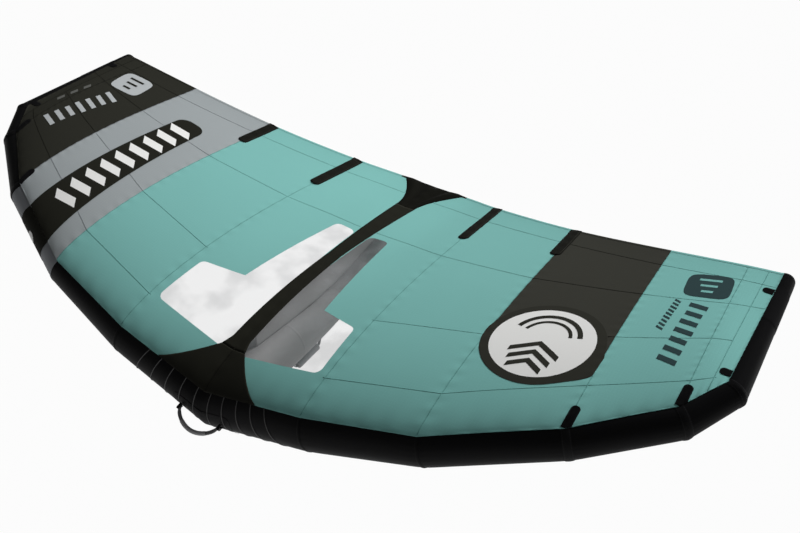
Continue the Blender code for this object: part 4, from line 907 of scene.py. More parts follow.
prints = {
    # Ink on the cloth, and ink on ink
    "lift": 0.0007, "second": 0.0012, "barRise": 0.0003, "barMarkRise": 0.0002,
    # The bar's front and rear corners in plan, how far its foot reaches, and its end round the tube
    "barInner": ((-0.83, -0.560), (-0.83, 0.286)), "barOuter": ((-1.003, -0.500), (-0.950, 0.286)),
    "barCorner": 0.045, "barFoot": 0.06, "barEndTurn": 205.0, "tubeLift": 0.0010,
    "dotHalfU": 0.06, "dotTurn": 84.0, "dotHalfTurn": 0.30, "dotLift": 0.0016,
    "slashes": 9, "slashFrom": 0.19, "slashPitch": 0.088, "slash": (0.092, 0.038), "slashSkew": -0.026,
    "badge": 0.068, "badgePower": 4.5, "markPitch": 0.034, "markLength": 0.012, "markWidths": (0.050, 0.016),
    "rowFall": 0.05, "rowSkew": 0.010,
}


def makeRoundel():
    # A white disc in a dark ring, whose right side runs out to the dark band's border; plain arcs and chevrons
    middle, lift = np.array(roundel["centre"]), roundel["lift"]
    ring = ringPlan(middle, roundel["ring"], bulge=roundel["bulge"], limit=roundel["bulgeLimit"], rows=22,
                    steps=181)
    disc = ringPlan(middle, roundel["disc"], rows=20, steps=121)
    layPlans("roundelRing", [ring], lift, "darkPrint", "teal_cloth")
    layPlans("roundelDisc", [disc], lift + roundel["discRise"], "whitePrint", "teal_cloth")
    marks = []
    across = np.linspace(0.0, -roundel["chevronWidth"], 4)[:, None, None] * (0.0, 1.0)
    for k in range(roundel["chevrons"]):
        half = roundel["chevronHalf"] - roundel["chevronStep"] * k
        x = np.linspace(-half, half, 17)
        chevron = np.stack([x, -np.abs(x) * roundel["chevronSlope"]], axis=1)
        drop = roundel["chevronDrop"] + roundel["chevronPitch"] * k
        marks.append(middle + (0.0, -drop) + chevron + across)
    start, end = roundel["arcTurns"]
    marks += [ringPlan(middle + (0.0, roundel["arcRise"]), radius, inner=roundel["arcInner"], start=start,
                       end=end, rows=6, steps=61) for radius in roundel["arcs"]]
    layPlans("roundelMarks", marks, lift + roundel["markRise"], "darkPrint", "teal_cloth")


def makeBar():
    # The black bar over the grey panel, rounded at its rear, then on round the grey tube
    innerFront, innerRear = np.array(prints["barInner"])
    outerFront, outerRear = np.array(prints["barOuter"])
    foot = prints["barFoot"]
    share = np.concatenate([np.zeros(1), foot * np.linspace(0.0, 1.0, 16)[1:] ** 1.4,
                            foot + (1.0 - foot) * crowdedEnd(90, 1.5)[1:]])
    inner = innerFront + (innerRear - innerFront) * share[:, None]
    outer = outerFront + (outerRear - outerFront) * share[:, None]
    off = (1.0 - share) * np.linalg.norm(innerRear - innerFront)
    inset = prints["barCorner"] * (1.0 - np.sqrt(1.0 - np.clip(1.0 - off / prints["barCorner"], 0.0, 1.0) ** 2))
    across = unitRows(outer - inner)
    inner, outer = inner + across * inset[:, None], outer - across * inset[:, None]
    side = np.linspace(0.0, 1.0, 25)[None, :, None]
    u, t = overPlan(*np.moveaxis(inner[:, None] * (1.0 - side) + outer[:, None] * side, -1, 0))
    # The front rows run on to the seam, and the bar goes on from there round the tube
    t = t * np.clip((share / share[15])[:, None], 0.0, 1.0)
    panel = sheetSurface(u, t, prints["lift"] + prints["barRise"])[::-1]
    u = u[0]
    turn = np.linspace(seamTurn(u), np.full(len(u), math.radians(prints["barEndTurn"])), 40)[1:]
    bar = np.concatenate([panel, tubeSurface(u[None, :], turn, prints["tubeLift"])])
    settle(makeGrid("panelBar", bar, "blackPrint", outward=upward), "wing", "grey_cloth")
    middle = (inner + outer) / 2.0
    angle, reach = np.linspace(0.0, fullTurn, 49)[:, None], np.linspace(0.001, 1.0, 8)
    dotTurn = math.radians(prints["dotTurn"]) + prints["dotHalfTurn"] * np.sin(angle) * reach
    dot = tubeSurface(u.mean() + prints["dotHalfU"] * np.cos(angle) * reach, dotTurn, prints["dotLift"])
    joinSheets("tubeDot", [dot], "whitePrint", "grey_cloth", (-0.3, -0.9, 0.3))
    marks = []
    for k in range(prints["slashes"]):
        place = prints["slashFrom"] + prints["slashPitch"] * k
        row = middle[0] * (1.0 - place) + middle[-1] * place
        marks.append(barPlan(row, *prints["slash"], 3.0, skew=prints["slashSkew"]))
    layPlans("barMarks", marks, prints["second"] + prints["barMarkRise"], "whitePrint", "grey_cloth")


def makeBadges():
    # Each side has a rounded square with three plain bars, and rows of graduated marks ahead of it
    badges = (("right", (1.247, 0.295), 97.0, "slatePrint", "tealPrint", "teal_cloth"),
              ("left", (-1.242, 0.290), 96.0, "palePrint", "blackPrint", "black_cloth"))
    width, growth = prints["markWidths"]
    for side, middle, turn, look, inkLook, slotName in badges:
        square = ringPlan(middle, prints["badge"], power=prints["badgePower"], turn=turn)
        layPlans(f"badge_{side}", [square], prints["lift"], look, slotName)
        along = turnedWay(turn)[0]
        marks = [barPlan(np.array(middle) + along * prints["markPitch"] * k, prints["markLength"],
                         width + growth * k, turn) for k in (-1, 0, 1)]
        layPlans(f"badgeMarks_{side}", marks, prints["second"], inkLook, slotName)
    rows = (("wingMarks_right", (1.260, -0.092), (1.256, 0.174), 7, 0.056, 0.021, "slatePrint", "teal_cloth"),
            ("smallMarks_right", (1.190, 0.035), (1.191, 0.184), 9, 0.022, 0.009, "slatePrint", "teal_cloth"),
            ("wingMarks_left", (-1.286, -0.110), (-1.226, 0.158), 7, 0.072, 0.020, "palePrint", "black_cloth"),
            ("smallMarks_left", (-1.367, 0.024), (-1.346, 0.145), 3, 0.018, 0.034, "dimPrint", "black_cloth"))
    for name, first, last, count, height, width, look, slotName in rows:
        first, last = np.array(first), np.array(last)
        turn = math.degrees(math.atan2(*(last - first)[::-1]))
        marks = [barPlan(first + (last - first) * k / (count - 1), width,
                         height * (1.0 - prints["rowFall"] * (k % 3)), turn, skew=prints["rowSkew"],
                         rows=4, columns=8) for k in range(count)]
        layPlans(name, marks, prints["lift"], look, slotName)


makeRoundel()
makeBar()
makeBadges()
print("prints laid")


# The leading edge sleeves: smooth rings, drawn in and puckered at each sewn kink

def sleeveLift(u, turn):
    # A pinch at each kink that fades over its reach, with shallow puckers round the tube
    index = np.minimum(np.abs(u).astype(int), lastKink - 1)
    part = np.abs(u) - index
    off = np.minimum(part, 1.0 - part) * sectionLength[index]
    pinch = -tube["pinch"] * np.exp(-(off / tube["pinchReach"]) ** 2)
    pucker = tube["puckerDepth"] * np.exp(-off / tube["puckerReach"]) * np.sin(turn * tube["puckers"] + index)
    return pinch + pucker * (1.0 - np.exp(-off / tube["puckerRise"]))


def makeSleeve(name, start, end, way, look, replaced, dome=False):
    rows = np.linspace(start, end, int(abs(end - start) * tube["stepsPerSection"]) + 1)
    turns = np.linspace(0.0, fullTurn, tube["sides"], endpoint=False)
    u, turn = np.meshgrid(rows, turns, indexing="ij")
    grid = tubeSurface(u, turn, sleeveLift(u, turn))
    if dome:
        bend = np.linspace(0.0, math.pi / 2.0, tube["domeSteps"] + 1)[1:-1]
        radius = kinkRadius[lastKink]
        shrink = (radius - tube["pinch"]) * (np.cos(bend) - 1.0) - tube["pinch"]
        caps = tubeSurface(float(lastKink), turns[None, :], shrink[:, None])
        caps = caps + kinkAlong[lastKink] * (radius * tube["domeShare"] * np.sin(bend))[:, None, None]
        grid = np.concatenate([grid, caps])
    grid[..., 0] *= way
    made = makeTube(name, grid, look, caps=(False, dome))
    settle(made, "wing", "tube_cloth", *replaced)


def makeSleeves():
    makeSleeve("tubeSleeve_centre", -1.0, 1.0, 1.0, "blackTubeCloth", ("le_sleeve_centre",))
    for side, way in sides:
        for k in range(1, lastKink):
            look = "greyTubeCloth" if side == "left" and k == 2 else "blackTubeCloth"
            makeSleeve(f"tubeSleeve_{k}_{side}", float(k), float(k + 1), way, look, (f"le_sleeve_{k}_{side}",),
                       dome=k == lastKink - 1)


bands = {
    # Tapes round the tube at the outer kinks, the laps that close the inner ones, and the tip's wear patch
    "wide": 0.027, "lap": 0.010, "wideLift": 0.0012, "lapLift": 0.0006, "firstWide": 3, "borderFall": 0.9,
    "patchShares": (0.56, 0.86), "patchTurns": (-150.0, 120.0), "patchLift": 0.0009,
}


def bandGrid(k, half, rise, way, turns):
    # Ring strip round kink k: half to each side of it, raised by rise less a quick fall at its borders
    share = np.linspace(-1.0, 1.0, 9)
    before, after = half / sectionLength[k - 1], half / sectionLength[k]
    rows = (k + np.where(share < 0.0, share * before, share * after)) * way
    u, turn = np.meshgrid(rows, turns, indexing="ij")
    lift = (rise * (1.0 - np.abs(share) ** 6 * bands["borderFall"]))[:, None]
    uv = stacked((turns * kinkRadius[k])[None, :], (half * (1.0 - np.abs(share)))[:, None])
    return tubeSurface(u, turn, lift), uv


def makeBands():
    turns = np.linspace(0.0, fullTurn, 73)
    for side, way in sides:
        for k in range(1, lastKink):
            wide = k >= bands["firstWide"]
            half = (bands["wide"] if wide else bands["lap"]) / 2.0
            grid, uv = bandGrid(k, half, bands["wideLift"] if wide else bands["lapLift"], way, turns)
            look = "greyTubeCloth" if side == "left" and k == 2 else "kinkTape" if wide else "blackTubeCloth"
            made = makeGrid(f"kinkBand_{k}_{side}", grid, look, uv=uv, flip=way > 0.0)
            settle(made, "wing", "tube_cloth")
        share = np.linspace(*bands["patchShares"], 24)
        turn = np.radians(np.linspace(*bands["patchTurns"], 60))
        u = (lastKink - 1 + share) * way
        grid = tubeSurface(u[:, None], turn[None, :], bands["patchLift"])
        made = makeGrid(f"tipWearPatch_{side}", grid, "scuffCloth", flip=way > 0.0)
        settle(made, "wing", "tube_cloth")


noseRibs = {
    # Raised rubber lines over the nose, five on each side
    "count": 5, "firstX": 0.0276, "spacing": 0.0553, "halfWidth": 0.0016, "height": 0.0018,
    "startTurn": 37.0, "endTurn": 150.0, "splay": 0.13,
    "foot": 0.0001, "tagX": 0.113, "tagTurns": (126.0, 140.0), "tagHalf": 0.008, "tagLift": 0.0020,
}


def makeNoseRibs():
    # Each rib keeps its x, which leans outwards in step with the turn round the tube
    turn = np.radians(np.linspace(noseRibs["startTurn"], noseRibs["endTurn"], 60))
    share = np.linspace(-1.0, 1.0, 5)
    lift = noseRibs["height"] * (1.0 - share ** 4)[None, :] + noseRibs["foot"]
    lean = 1.0 + noseRibs["splay"] * (turn - turn[0]) / math.radians(60.0)
    for side, way in sides:
        for k in range(noseRibs["count"]):
            middle = (noseRibs["firstX"] + noseRibs["spacing"] * k) * lean
            u = (middle[:, None] + noseRibs["halfWidth"] * share[None, :]) / noseReach * way
            grid = tubeSurface(u, turn[:, None], lift)
            made = makeGrid(f"noseRib_{k + 1}_{side}", grid, "ribRubber", flip=way < 0.0)
            settle(made, "wing", "tube_cloth")
    # The small folded label beside the ribs
    u = (noseRibs["tagX"] + noseRibs["tagHalf"] * np.linspace(-1.0, 1.0, 5)) / noseReach
    turn = np.radians(np.linspace(*noseRibs["tagTurns"], 7))
    label = tubeSurface(u[:, None], turn[None, :], noseRibs["tagLift"])
    joinSheets("noseLabel", [label], "whitePrint", "tube_cloth", (0.0, -1.0, -1.0))


makeSleeves()
makeBands()
makeNoseRibs()
print("leading edge made")


# The strut and the web that ties it to the canopy
strut = {
    "overlap": 0.050, "tailSetback": 0.276, "frontRadius": 0.086, "tailRadius": 0.038,
    "stations": (0.0, 0.12, 0.27, 0.42, 0.57, 0.72, 0.86, 1.0),
    "radiusShares": (1.0, 0.96, 0.84, 0.68, 0.56, 0.42, 0.24, 0.0),
    "sag": 0.012, "sagShares": (0.0, 0.3, 0.8, 1.0, 0.7, 0.0, 0.0, 0.0),
    "riseShares": (0.0, 0.0, 0.0, 0.0, 0.07, 0.32, 0.66, 1.0),
    "webTailHeight": 0.0022, "webSetback": 0.150, "webThickness": 0.0012,
    # The skin lies a little outside the frame's own, clear of the bladder's flat faces
    "ease": 0.0009,
    "sides": 72, "steps": 90, "domeSteps": 10, "trimGap": 0.0004,
    "laps": (0.30, 0.56, 0.80), "lapHalf": 0.005, "lapRise": 0.0006, "lapFoot": 0.0001,
    "webFoot": 0.0003, "webHead": 0.0006, "webLeast": 0.0004,
}
strutStart = -tube["noseAhead"] + tube["noseRadius"] - strut["overlap"]
strutLength = canopy["tailReach"] - strut["tailSetback"] - strutStart


def roofHeight(y):
    u, t = overPlan(np.zeros_like(y), y)
    return clothBase(u, t)[..., 2]


strutRise = float(roofHeight(np.array(strutStart + strutLength))) - strut["webTailHeight"] - strut[
    "tailRadius"] - tube["noseHeight"]


def strutAxis(share):
    # Height of the axis and radius at a share of the length, each a smooth curve through its stations
    sag, rise, width = [smoothTable(share, strut["stations"], shares) for shares in (
        strut["sagShares"], strut["riseShares"], strut["radiusShares"])]
    radius = strut["tailRadius"] + (strut["frontRadius"] - strut["tailRadius"]) * width
    return tube["noseHeight"] - strut["sag"] * sag + strutRise * rise, radius


def strutShare(y):
    return (y - strutStart) / strutLength


def strutSurface(share, turn, lift=0.0):
    # Ring about the axis: sin turn to the right, cos turn up
    height, radius = strutAxis(share)
    reach = radius + strut["ease"] + lift
    y = strutStart + strutLength * share
    return stacked(reach * np.sin(turn), y, height + reach * np.cos(turn))


def makeStrut():
    turns = np.linspace(0.0, fullTurn, strut["sides"], endpoint=False)
    grid = strutSurface(np.linspace(0.0, 1.0, strut["steps"])[:, None], turns[None, :])
    bend = np.linspace(0.0, math.pi / 2.0, strut["domeSteps"] + 1)[1:-1]
    height, radius = strutAxis(np.array(1.0))
    radius = radius + strut["ease"]
    reach = radius * np.cos(bend)[:, None]
    rear = strutStart + strutLength + (radius * np.sin(bend))[:, None]
    tail = stacked(reach * np.sin(turns), rear, height + reach * np.cos(turns))
    grid = np.concatenate([grid, tail])
    # The front end is trimmed to the tube: no point lies ahead of the tube's rear face
    off = np.abs(grid[..., 0]) / noseReach
    middle = tubeAxis(off)
    tubeRadius = np.linalg.norm(tubeSurface(off, 0.0) - middle, axis=-1)
    above = grid[..., 2] - middle[..., 2]
    face = middle[..., 1] + np.sqrt(np.maximum(tubeRadius ** 2 - above ** 2, 0.0)) + strut["trimGap"]
    grid[..., 1] = np.where(np.abs(above) < tubeRadius, np.maximum(grid[..., 1], face), grid[..., 1])
    skin = makeTube("strutSkin", grid, "strutCloth", caps=(False, True))
    settle(skin, "wing", "strut_cloth", "strut_sleeve")
    for k, place in enumerate(strut["laps"]):
        rows = np.linspace(place - strut["lapHalf"], place + strut["lapHalf"], 5)
        lift = strut["lapRise"] * (1.0 - np.linspace(-1.0, 1.0, 5) ** 4)[:, None] + strut["lapFoot"]
        lap = makeTube(f"strutLap_{k + 1}", strutSurface(rows[:, None], turns[None, :], lift), "strutCloth",
                       caps=(False, False))
        settle(lap, "wing", "strut_cloth")


def makeWeb():
    # Flat cloth on the centre plane, its foot on the strut's top and its head under the canopy
    y = np.linspace(strutStart + strut["webSetback"], strutStart + strutLength, 120)
    height, radius = strutAxis(strutShare(y))
    foot = height + radius + strut["ease"] + strut["webFoot"]
    head = np.maximum(roofHeight(y) - strut["webHead"], foot + strut["webLeast"])
    share = np.linspace(0.0, 1.0, 14)
    z = foot[:, None] * (1.0 - share) + head[:, None] * share
    grid = stacked(strut["webThickness"] / 2.0, y[:, None], z)
    made = addWall(makeGrid("strutWeb", grid, "strutCloth"), strut["webThickness"])
    settle(made, "wing", "strut_cloth", "strut_web")


makeStrut()
makeWeb()
print("strut made")


# Straps, grips and hoses: a ring carried along a path

def unit(vector):
    return np.asarray(vector, float) / np.linalg.norm(vector)


def roundedPath(points, radius, steps=10):
    # Each inner corner becomes an arc of the radius, tangent to both legs
    path = [np.array(points[0], float)]
    for before, corner, after in zip(points[:-2], points[1:-1], points[2:]):
        a, b = unit(np.subtract(before, corner)), unit(np.subtract(after, corner))
        half = math.acos(float(np.clip(np.dot(a, b), -1.0, 1.0))) / 2.0
        reach = radius / math.tan(half)
        middle = np.array(corner) + unit(a + b) * radius / math.sin(half)
        start = np.array(corner) + a * reach - middle
        end = np.array(corner) + b * reach - middle
        share = np.linspace(0.0, 1.0, steps)[:, None]
        path.extend(middle + unitRows(start * (1.0 - share) + end * share) * radius)
    return np.array([*path, np.array(points[-1], float)])


def evenly(path, count):
    length = lineLength(path)
    at = np.linspace(0.0, length[-1], count)
    return np.stack([np.interp(at, length, path[:, k]) for k in range(3)], axis=1)


def carryRing(path, hint, halfSide, halfUp, sides=28, power=2.0):
    # Rings side * a cos^(2/p) + up * b sin^(2/p), side = path direction x hint; UV is metres along and round
    run = unitRows(np.gradient(path, axis=0))
    side = unitRows(np.cross(run, hint))
    up = np.cross(side, run)
    angle = np.linspace(0.0, fullTurn, sides, endpoint=False)
    c, s = [np.sign(w) * np.abs(w) ** (2.0 / power) for w in (np.cos(angle), np.sin(angle))]
    halfSide, halfUp = [np.broadcast_to(h, (len(path),))[:, None] for h in (halfSide, halfUp)]
    sideways = (halfSide * c)[..., None] * side[:, None, :]
    upwards = (halfUp * s)[..., None] * up[:, None, :]
    rings = path[:, None, :] + sideways + upwards
    around = angle * float(np.mean(halfSide) + np.mean(halfUp)) / 2.0
    return rings, stacked(lineLength(path)[:, None], around[None, :])


handles = {
    "strapRadius": 0.0045, "strapEnd": 0.011, "bendShare": 2.5, "leashBendShare": 2.0, "flatten": 0.018,
    "strapSide": 0.0054, "strapUp": 0.0026, "loopWidth": 0.0105, "loopWall": 0.0012, "loopClear": 0.0003,
    "earHeight": 0.009,
    # Name, joint, distance between the hinge points, drop, slope share, strap radius
    "strutGrips": (("frontGrip", "front_grip", 0.19035, 0.056, 0.45, 0.0045),
                   ("rearGrip", "rear_grip", 0.19728, 0.056, 0.45, 0.0045)),
    "leash": ("leashLoop", "leash_loop", 0.04836, 0.030, 0.20, 0.0030),
    "padRadius": 0.0147, "padLength": 0.119, "padGrooves": 14, "padGroove": 0.0005, "padBevel": 0.006,
    "noseHalf": 0.08094, "noseDrop": 0.046, "noseLean": 56.0, "nosePadShare": 0.50, "nosePad": 0.0074,
    "noseAlongPower": 1.05, "noseDownPower": 1.35, "noseSide": 0.0064, "noseUp": 0.0040, "noseBore": 0.0050,
    "leashFlat": 0.8, "boreGap": 0.0006, "legSpread": 0.35,
}


def grooves(share, length):
    # What a foam grip's radius loses: rounded ends, and shallow ring grooves between them
    off = np.minimum(share, 1.0 - share) * length
    corner = np.clip(1.0 - off / handles["padBevel"], 0.0, 1.0)
    ends = handles["padBevel"] * (1.0 - np.sqrt(1.0 - corner ** 2))
    ring = handles["padGroove"] * np.maximum(np.cos(share * handles["padGrooves"] * fullTurn), 0.0) ** 6
    return -ends - ring * np.clip(off / 0.012 - 0.6, 0.0, 1.0)


def makePad(name, path, hint, outer, inner, body, node, look, endShare=0.7):
    # The outer skin runs one way and the bore back, so that the pad closes on itself
    share = np.linspace(0.0, 1.0, len(path))
    length = lineLength(path)[-1]
    reach = outer + grooves(share, length) * endShare * min(1.0, outer / handles["padBevel"] / 1.5)
    skin, uv = carryRing(path, hint, reach, reach)
    bore, boreUv = carryRing(path, hint, inner, inner)
    made = makeTube(name, np.concatenate([skin, bore[::-1]]), look, uv=np.concatenate([uv, boreUv[::-1]]),
                    wrapRows=True)
    settle(made, body, "grip_foam", node)


def makeStrap(name, path, hint, body, node, side, up, endRadius, look):
    # Round where its ends turn in their loops, flat webbing between them
    length = lineLength(path)
    off = np.minimum(length, length[-1] - length)
    share = np.clip((off - handles["strapEnd"]) / handles["flatten"], 0.0, 1.0)
    share = share * share * (3.0 - 2.0 * share)
    halfSide, halfUp = endRadius + (side - endRadius) * share, endRadius + (up - endRadius) * share
    rings, uv = carryRing(path, hint, halfSide, halfUp, power=2.6)
    settle(makeTube(name, rings, look, uv=uv), body, "webbing", node)


def makeAnchor(name, hinge, run, down, radius, look):
    # Webbing folded round the strap's end: two legs from the patch and a half turn below the strap
    reach = radius + handles["loopClear"] + handles["loopWall"]
    angle = np.linspace(0.0, math.pi, 17)
    across = unit(np.cross(run, down))
    top = handles["earHeight"] + radius
    legs = np.linspace(-top, 0.0, 8)[:-1]
    side = np.concatenate([np.full(7, 1.0), np.cos(angle), np.full(7, -1.0)]) * reach
    spread = 1.0 + handles["legSpread"] * (legs / top) ** 2
    side *= np.concatenate([spread, np.ones(17), spread[::-1]])
    drop = np.concatenate([legs, np.sin(angle) * reach, legs[::-1]])
    span = np.linspace(-0.5, 0.5, 5) * handles["loopWidth"]
    grid = hinge + span[:, None, None] * run + side[None, :, None] * across + drop[None, :, None] * down
    arc = np.concatenate([[0.0], np.cumsum(np.hypot(np.diff(side), np.diff(drop)))])
    edge = handles["loopWidth"] / 2.0 - np.abs(span)
    uv = stacked(arc[None, :], edge[:, None])
    made = addWall(makeGrid(name, grid, look, uv=uv), handles["loopWall"])
    settle(made, "wing", "black_cloth")


def hingeEnds(joint, length):
    start, run = np.array(joints[joint]["pos_m"]), unit(joints[joint]["axis"])
    return start, start + run * length, run


def hangingPath(a, b, run, drop, slope, bend, down):
    # Out of one loop, down to the grip, along it and up into the other loop
    inset = drop * slope
    points = [a - run * handles["strapEnd"], a, a + run * inset + down * drop, b - run * inset + down * drop, b,
              b + run * handles["strapEnd"]]
    return roundedPath(points, bend), points


def makeStrutGrips():
    for name, body, length, drop, slope, radius in (*handles["strutGrips"], handles["leash"]):
        a, b, run = hingeEnds(f"{body}_swing", length)
        down = unit(np.array((0.0, run[2], -run[1])))
        leash = name == "leashLoop"
        bend = radius * (handles["leashBendShare"] if leash else handles["bendShare"])
        path, points = hangingPath(a, b, run, drop, slope, bend, down)
        hint = np.cross(run, down)
        if leash:
            makeStrap(name, evenly(path, 90), hint, body, body, radius, radius * handles["leashFlat"], radius,
                      "webbing")
        else:
            makeStrap(f"{name}Strap", evenly(path, 140), hint, body, f"{body}_strap", handles["strapUp"],
                      handles["strapSide"], radius, "greyWebbing")
            middle = (points[2] + points[3]) / 2.0
            share = np.linspace(-0.5, 0.5, 121)[:, None]
            makePad(f"{name}Pad", middle + run * handles["padLength"] * share, hint, handles["padRadius"],
                    handles["strapRadius"] + handles["boreGap"], body, f"{body}_pad", "greyFoam")
        halfLoop = run * handles["loopWidth"] / 2.0
        for end, place in (("front", a - halfLoop), ("rear", b + halfLoop)):
            makeAnchor(f"{name}Anchor_{end}", place, run, down, radius, "greyTape")


def makeNoseHandle():
    # A half circle shaped by two powers: along = |cos|^p, out = drop sin^q, leaning forward
    hinge, run = np.array(joints["nose_handle_swing"]["pos_m"]), np.array((1.0, 0.0, 0.0))
    half, lean = handles["noseHalf"], math.radians(handles["noseLean"])
    out = np.array((0.0, -math.sin(lean), -math.cos(lean)))
    turn = np.linspace(0.0, math.pi, 91)[:, None]
    swing = np.sign(np.cos(turn)) * np.abs(np.cos(turn)) ** handles["noseAlongPower"]
    arc = hinge - run * half * swing + out * handles["noseDrop"] * np.sin(turn) ** handles["noseDownPower"]
    ends = [arc[0] - run * handles["strapEnd"], arc[-1] + run * handles["strapEnd"]]
    path = evenly(np.concatenate([ends[:1], arc, ends[1:]]), 160)
    hint = np.cross(run, out)
    makeStrap("noseHandleStrap", path, hint, "nose_handle", "nose_handle_strap", handles["noseSide"],
              handles["noseUp"], handles["strapRadius"], "webbing")
    reach = int(len(path) * handles["nosePadShare"] / 2.0)
    cover = path[len(path) // 2 - reach:len(path) // 2 + reach + 1]
    # Its foam's light grey is painted light
    makePad("noseHandlePad", cover, hint, handles["nosePad"], handles["noseBore"], "nose_handle",
            "nose_handle_pad", "darkFoam", endShare=0.25)
    for side, way in sides:
        place = hinge + run * way * (half + handles["loopWidth"] / 2.0)
        u = np.array(place[0] / noseReach)
        tubeWay = unit(tubeSurface(u, math.radians(patches["noseTurn"])) - tubeAxis(u))
        along = unit(sectionRun[0] * (1.0, way, way))
        makeAnchor(f"noseAnchor_{side}", place, unit(along - tubeWay * np.dot(along, tubeWay)), tubeWay,
                   handles["strapRadius"], "kinkTape")


patches = {
    # Reinforcing patches under the anchors: the strut's by y and turn, the nose's by x and turn
    "strutFront": -0.300, "strutRear": 0.385, "strutTurn": 32.0, "lift": 0.0014, "thickness": 0.0010,
    "noseHalf": 0.120, "noseTurn": 102.0, "noseSpread": 24.0, "corner": 0.025, "noseLift": 0.0007,
    "noseThickness": 0.0005, "valveRadius": 0.036, "portRadius": 0.020, "roundLift": 0.0008,
}


def roundedField(middle, halfA, halfB, rows):
    # Square grid of -1..1 by -1..1 in metres, drawn in at its four corners by quarter circles
    corner = patches["corner"]
    s, q = np.meshgrid(np.linspace(-1.0, 1.0, rows), np.linspace(-1.0, 1.0, 21), indexing="ij")
    inset = np.clip(1.0 - (1.0 - np.abs(s)) * halfA / corner, 0.0, 1.0)
    width = halfB - corner * (1.0 - np.sqrt(1.0 - inset ** 2))
    a = middle + s * halfA
    return a, q * width, stacked(a, np.minimum(width * (1.0 - np.abs(q)), halfA * (1.0 - np.abs(s))))


def makePatches():
    front, rear = patches["strutFront"], patches["strutRear"]
    middle = (front + rear) / 2.0
    radius = float(strutAxis(strutShare(np.array(middle)))[1])
    halfTurn = math.radians(patches["strutTurn"])
    y, arc, uv = roundedField(middle, (rear - front) / 2.0, halfTurn * radius, 110)
    grid = strutSurface(strutShare(y), math.pi + arc / radius, patches["lift"])
    made = addWall(makeGrid("strutPatch", grid, "greyTape", uv=uv, flip=True), patches["thickness"])
    settle(made, "wing", "black_cloth", "strut_grip_patch")
    radius = tube["noseRadius"]
    halfTurn = math.radians(patches["noseSpread"])
    x, arc, uv = roundedField(0.0, patches["noseHalf"], halfTurn * radius, 80)
    turn = math.radians(patches["noseTurn"]) + arc / radius
    grid = tubeSurface(x / noseReach, turn, patches["noseLift"])
    made = addWall(makeGrid("noseGripPatch", grid, "kinkTape", uv=uv, flip=True), patches["noseThickness"])
    settle(made, "wing", "black_cloth", "nose_grip_patch")


def discOn(surface, radius, inner=0.0, rows=8, steps=61):
    # Round patch: polar steps in metres, handed to a surface that takes metres along and round
    angle = np.linspace(0.0, fullTurn, steps)[:, None]
    reach = np.linspace(max(inner, 0.0003), radius, rows)[None, :]
    return surface(reach * np.cos(angle), reach * np.sin(angle)), stacked(angle * radius, radius - reach)


hose = {
    "u": -0.38, "turn": -95.0, "share": 0.27, "radius": 0.008, "lead": 0.0275, "bend": 0.022, "portGap": 0.0003,
    "collar": 0.0035, "collarReach": 0.007, "rib": 0.0003, "ribPitch": 0.004,
}
valve = {"u": 0.52, "turn": -78.0, "stem": 0.0245}


def tubeField(u0, turn0, lift):
    # Metres along and round the tube from (u0, turn0) to the surface
    radius = float(np.interp(abs(u0), (0.0, 1.0), kinkRadius[:2]))
    return lambda a, b: tubeSurface(u0 + a / sectionLength[0], math.radians(turn0) + b / radius, lift)


def makeHoseAndValve():
    start = tubeSurface(hose["u"], math.radians(hose["turn"]), hose["portGap"])
    out = unit(start - tubeAxis(np.array(hose["u"])))
    end = strutSurface(np.array(hose["share"]), -math.pi / 2.0, hose["portGap"])
    corner = np.array((start[0], end[1], end[2]))
    path = evenly(roundedPath([start, start + out * hose["lead"], corner, end], hose["bend"]), 220)
    length = lineLength(path)
    off = np.minimum(length, length[-1] - length)
    reach = hose["radius"] + hose["collar"] * np.exp(-(off / hose["collarReach"]) ** 6)
    reach = reach - hose["rib"] * (0.5 + 0.5 * np.sin(length / hose["ribPitch"] * fullTurn))
    rings, uv = carryRing(path, upward, reach, reach)
    settle(makeTube("airHose", rings, "hoseRubber", uv=uv), "wing", "hose_rubber", "air_hose")
    lift = patches["roundLift"]
    places = (("hosePortPatch_tube", tubeField(hose["u"], hose["turn"], lift), patches["portRadius"], 0.0),
              ("valvePatch", tubeField(valve["u"], valve["turn"], lift), patches["valveRadius"], valve["stem"]))
    for name, surface, radius, inner in places:
        grid, uv = discOn(surface, radius, inner)
        settle(makeGrid(name, grid, "kinkTape", uv=uv), "wing", "tube_cloth")
    radius = float(strutAxis(np.array(hose["share"]))[1])
    grid, uv = discOn(lambda a, b: strutSurface(
        hose["share"] + a / strutLength, b / radius - math.pi / 2.0, lift), patches["portRadius"])
    settle(makeGrid("hosePortPatch_strut", grid, "blackTape", uv=uv), "wing", "strut_cloth")


makeStrutGrips()
makeNoseHandle()
makePatches()
makeHoseAndValve()
print("handles and fittings made")

# Frame nodes that stay: moulded parts that show, and what lies inside the sleeves and pockets
carried = {
    "valve_body": "valveNylon", "valve_cap": "valveNylon", "hose_clip": "valveNylon",
    "le_bladder": "bladderFilm", "strut_bladder": "bladderFilm",
    **{f"{row}_batten_{side}": "glassFibre" for row in ("inner", "outer") for side, _ in sides},
}
for nodeName, look in carried.items():
    node = cadNodes[nodeName]
    for holder in node.material_slots:
        holder.link = "OBJECT"
        holder.material = looks[look]
print("frame nodes carried over:", len(carried))


# Camera, floor and light

view = {
    # From the front right and above: tilted up from straight down, then turned round the vertical
    "place": (1.7312, -2.1428, 2.3679), "lens": 43.0, "sensor": 36.0, "tilt": 52.9329, "turn": 33.6266,
}


def makeCamera():
    data = bpy.data.cameras.new("portraitCamera")
    data.lens, data.sensor_width, data.sensor_fit = view["lens"], view["sensor"], "HORIZONTAL"
    made = bpy.data.objects.new("portraitCamera", data)
    made.location = view["place"]
    made.rotation_euler = (math.radians(view["tilt"]), 0.0, math.radians(view["turn"]))
    studio.collection.objects.link(made)
    studio.camera = made


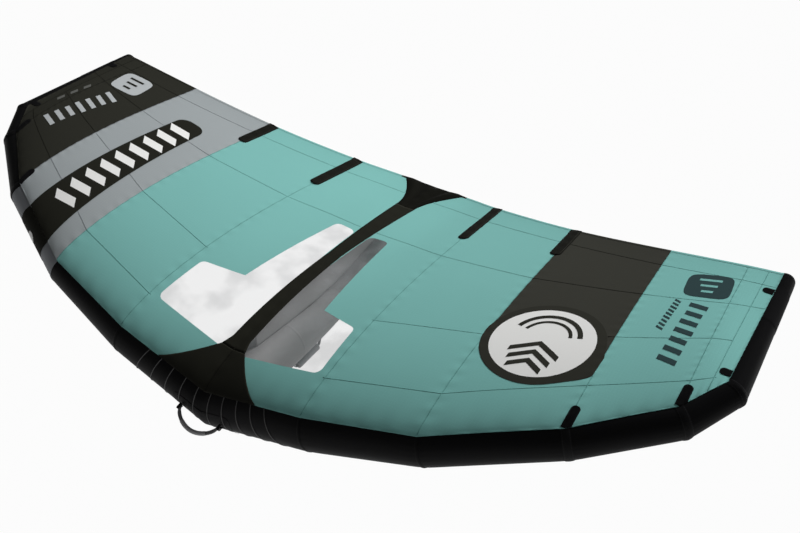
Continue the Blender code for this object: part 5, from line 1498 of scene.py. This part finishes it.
stage = {
    # Each sun: strength, spread in degrees, and the way towards it
    "floorHeight": -1.6, "floorHalf": 30.0, "floorColour": "#DADADA", "glow": 0.992, "glowShare": 0.94,
    "worldColour": "#FFFFFF", "worldStrength": 0.11,
    "suns": (("softKey", 5.1, 28.0, (0.24, 0.90, 0.58)), ("sideFill", 0.9, 45.0, (1.0, 0.15, -0.20))),
}


def seenThrough(tree):
    # 1 for what the camera sees, straight or through a clear window
    path = addNode(tree, "ShaderNodeLightPath")
    return addNode(tree, "ShaderNodeMath", {"operation": "MAXIMUM"}, {
        0: path.outputs["Is Camera Ray"], 1: path.outputs["Is Transmission Ray"]}).outputs[0]


def makeFloor():
    # A wide plain square: pale to the camera, and it keeps a little of the shadow
    half = stage["floorHalf"]
    x, y = np.meshgrid((-half, half), (-half, half))
    corners = stacked(x, y, stage["floorHeight"])
    _, tree, shader, _ = startMaterial("paleFloor", 0.9)
    shader.inputs["Base Color"].default_value = hexColour(stage["floorColour"])
    share = addNode(tree, "ShaderNodeMath", {"operation": "MULTIPLY", 1: stage["glowShare"]}, {
        0: seenThrough(tree)})
    glow = addNode(tree, "ShaderNodeEmission", {"Strength": stage["glow"]})
    mix = addNode(tree, "ShaderNodeMixShader", links={
        0: share.outputs[0], 1: shader.outputs[0], 2: glow.outputs[0]})
    output = next(n for n in tree.nodes if n.type == "OUTPUT_MATERIAL")
    tree.links.new(mix.outputs[0], output.inputs["Surface"])
    makeGrid("floor", corners, "paleFloor", flip=True)


def makeLights():
    # A low even world, white where it is looked at, and soft suns that leave no glare on the black cloths
    world = bpy.data.worlds.new("studio")
    studio.world = world
    world.use_nodes = True
    tree = world.node_tree
    background = tree.nodes["Background"]
    background.inputs["Color"].default_value = hexColour(stage["worldColour"])
    strength = addNode(tree, "ShaderNodeMapRange", {"To Min": stage["worldStrength"], "To Max": stage["glow"]},
                       {"Value": seenThrough(tree)})
    tree.links.new(strength.outputs[0], background.inputs["Strength"])
    for name, energy, spread, place in stage["suns"]:
        sun = bpy.data.lights.new(name, "SUN")
        sun.energy, sun.angle = energy, math.radians(spread)
        lamp = bpy.data.objects.new(name, sun)
        lamp.visible_glossy = False
        lamp.rotation_euler = Vector(place).to_track_quat("Z", "Y").to_euler()
        studio.collection.objects.link(lamp)


makeCamera()
makeFloor()
makeLights()
studio.view_settings.view_transform = "Standard"
print("stage set")
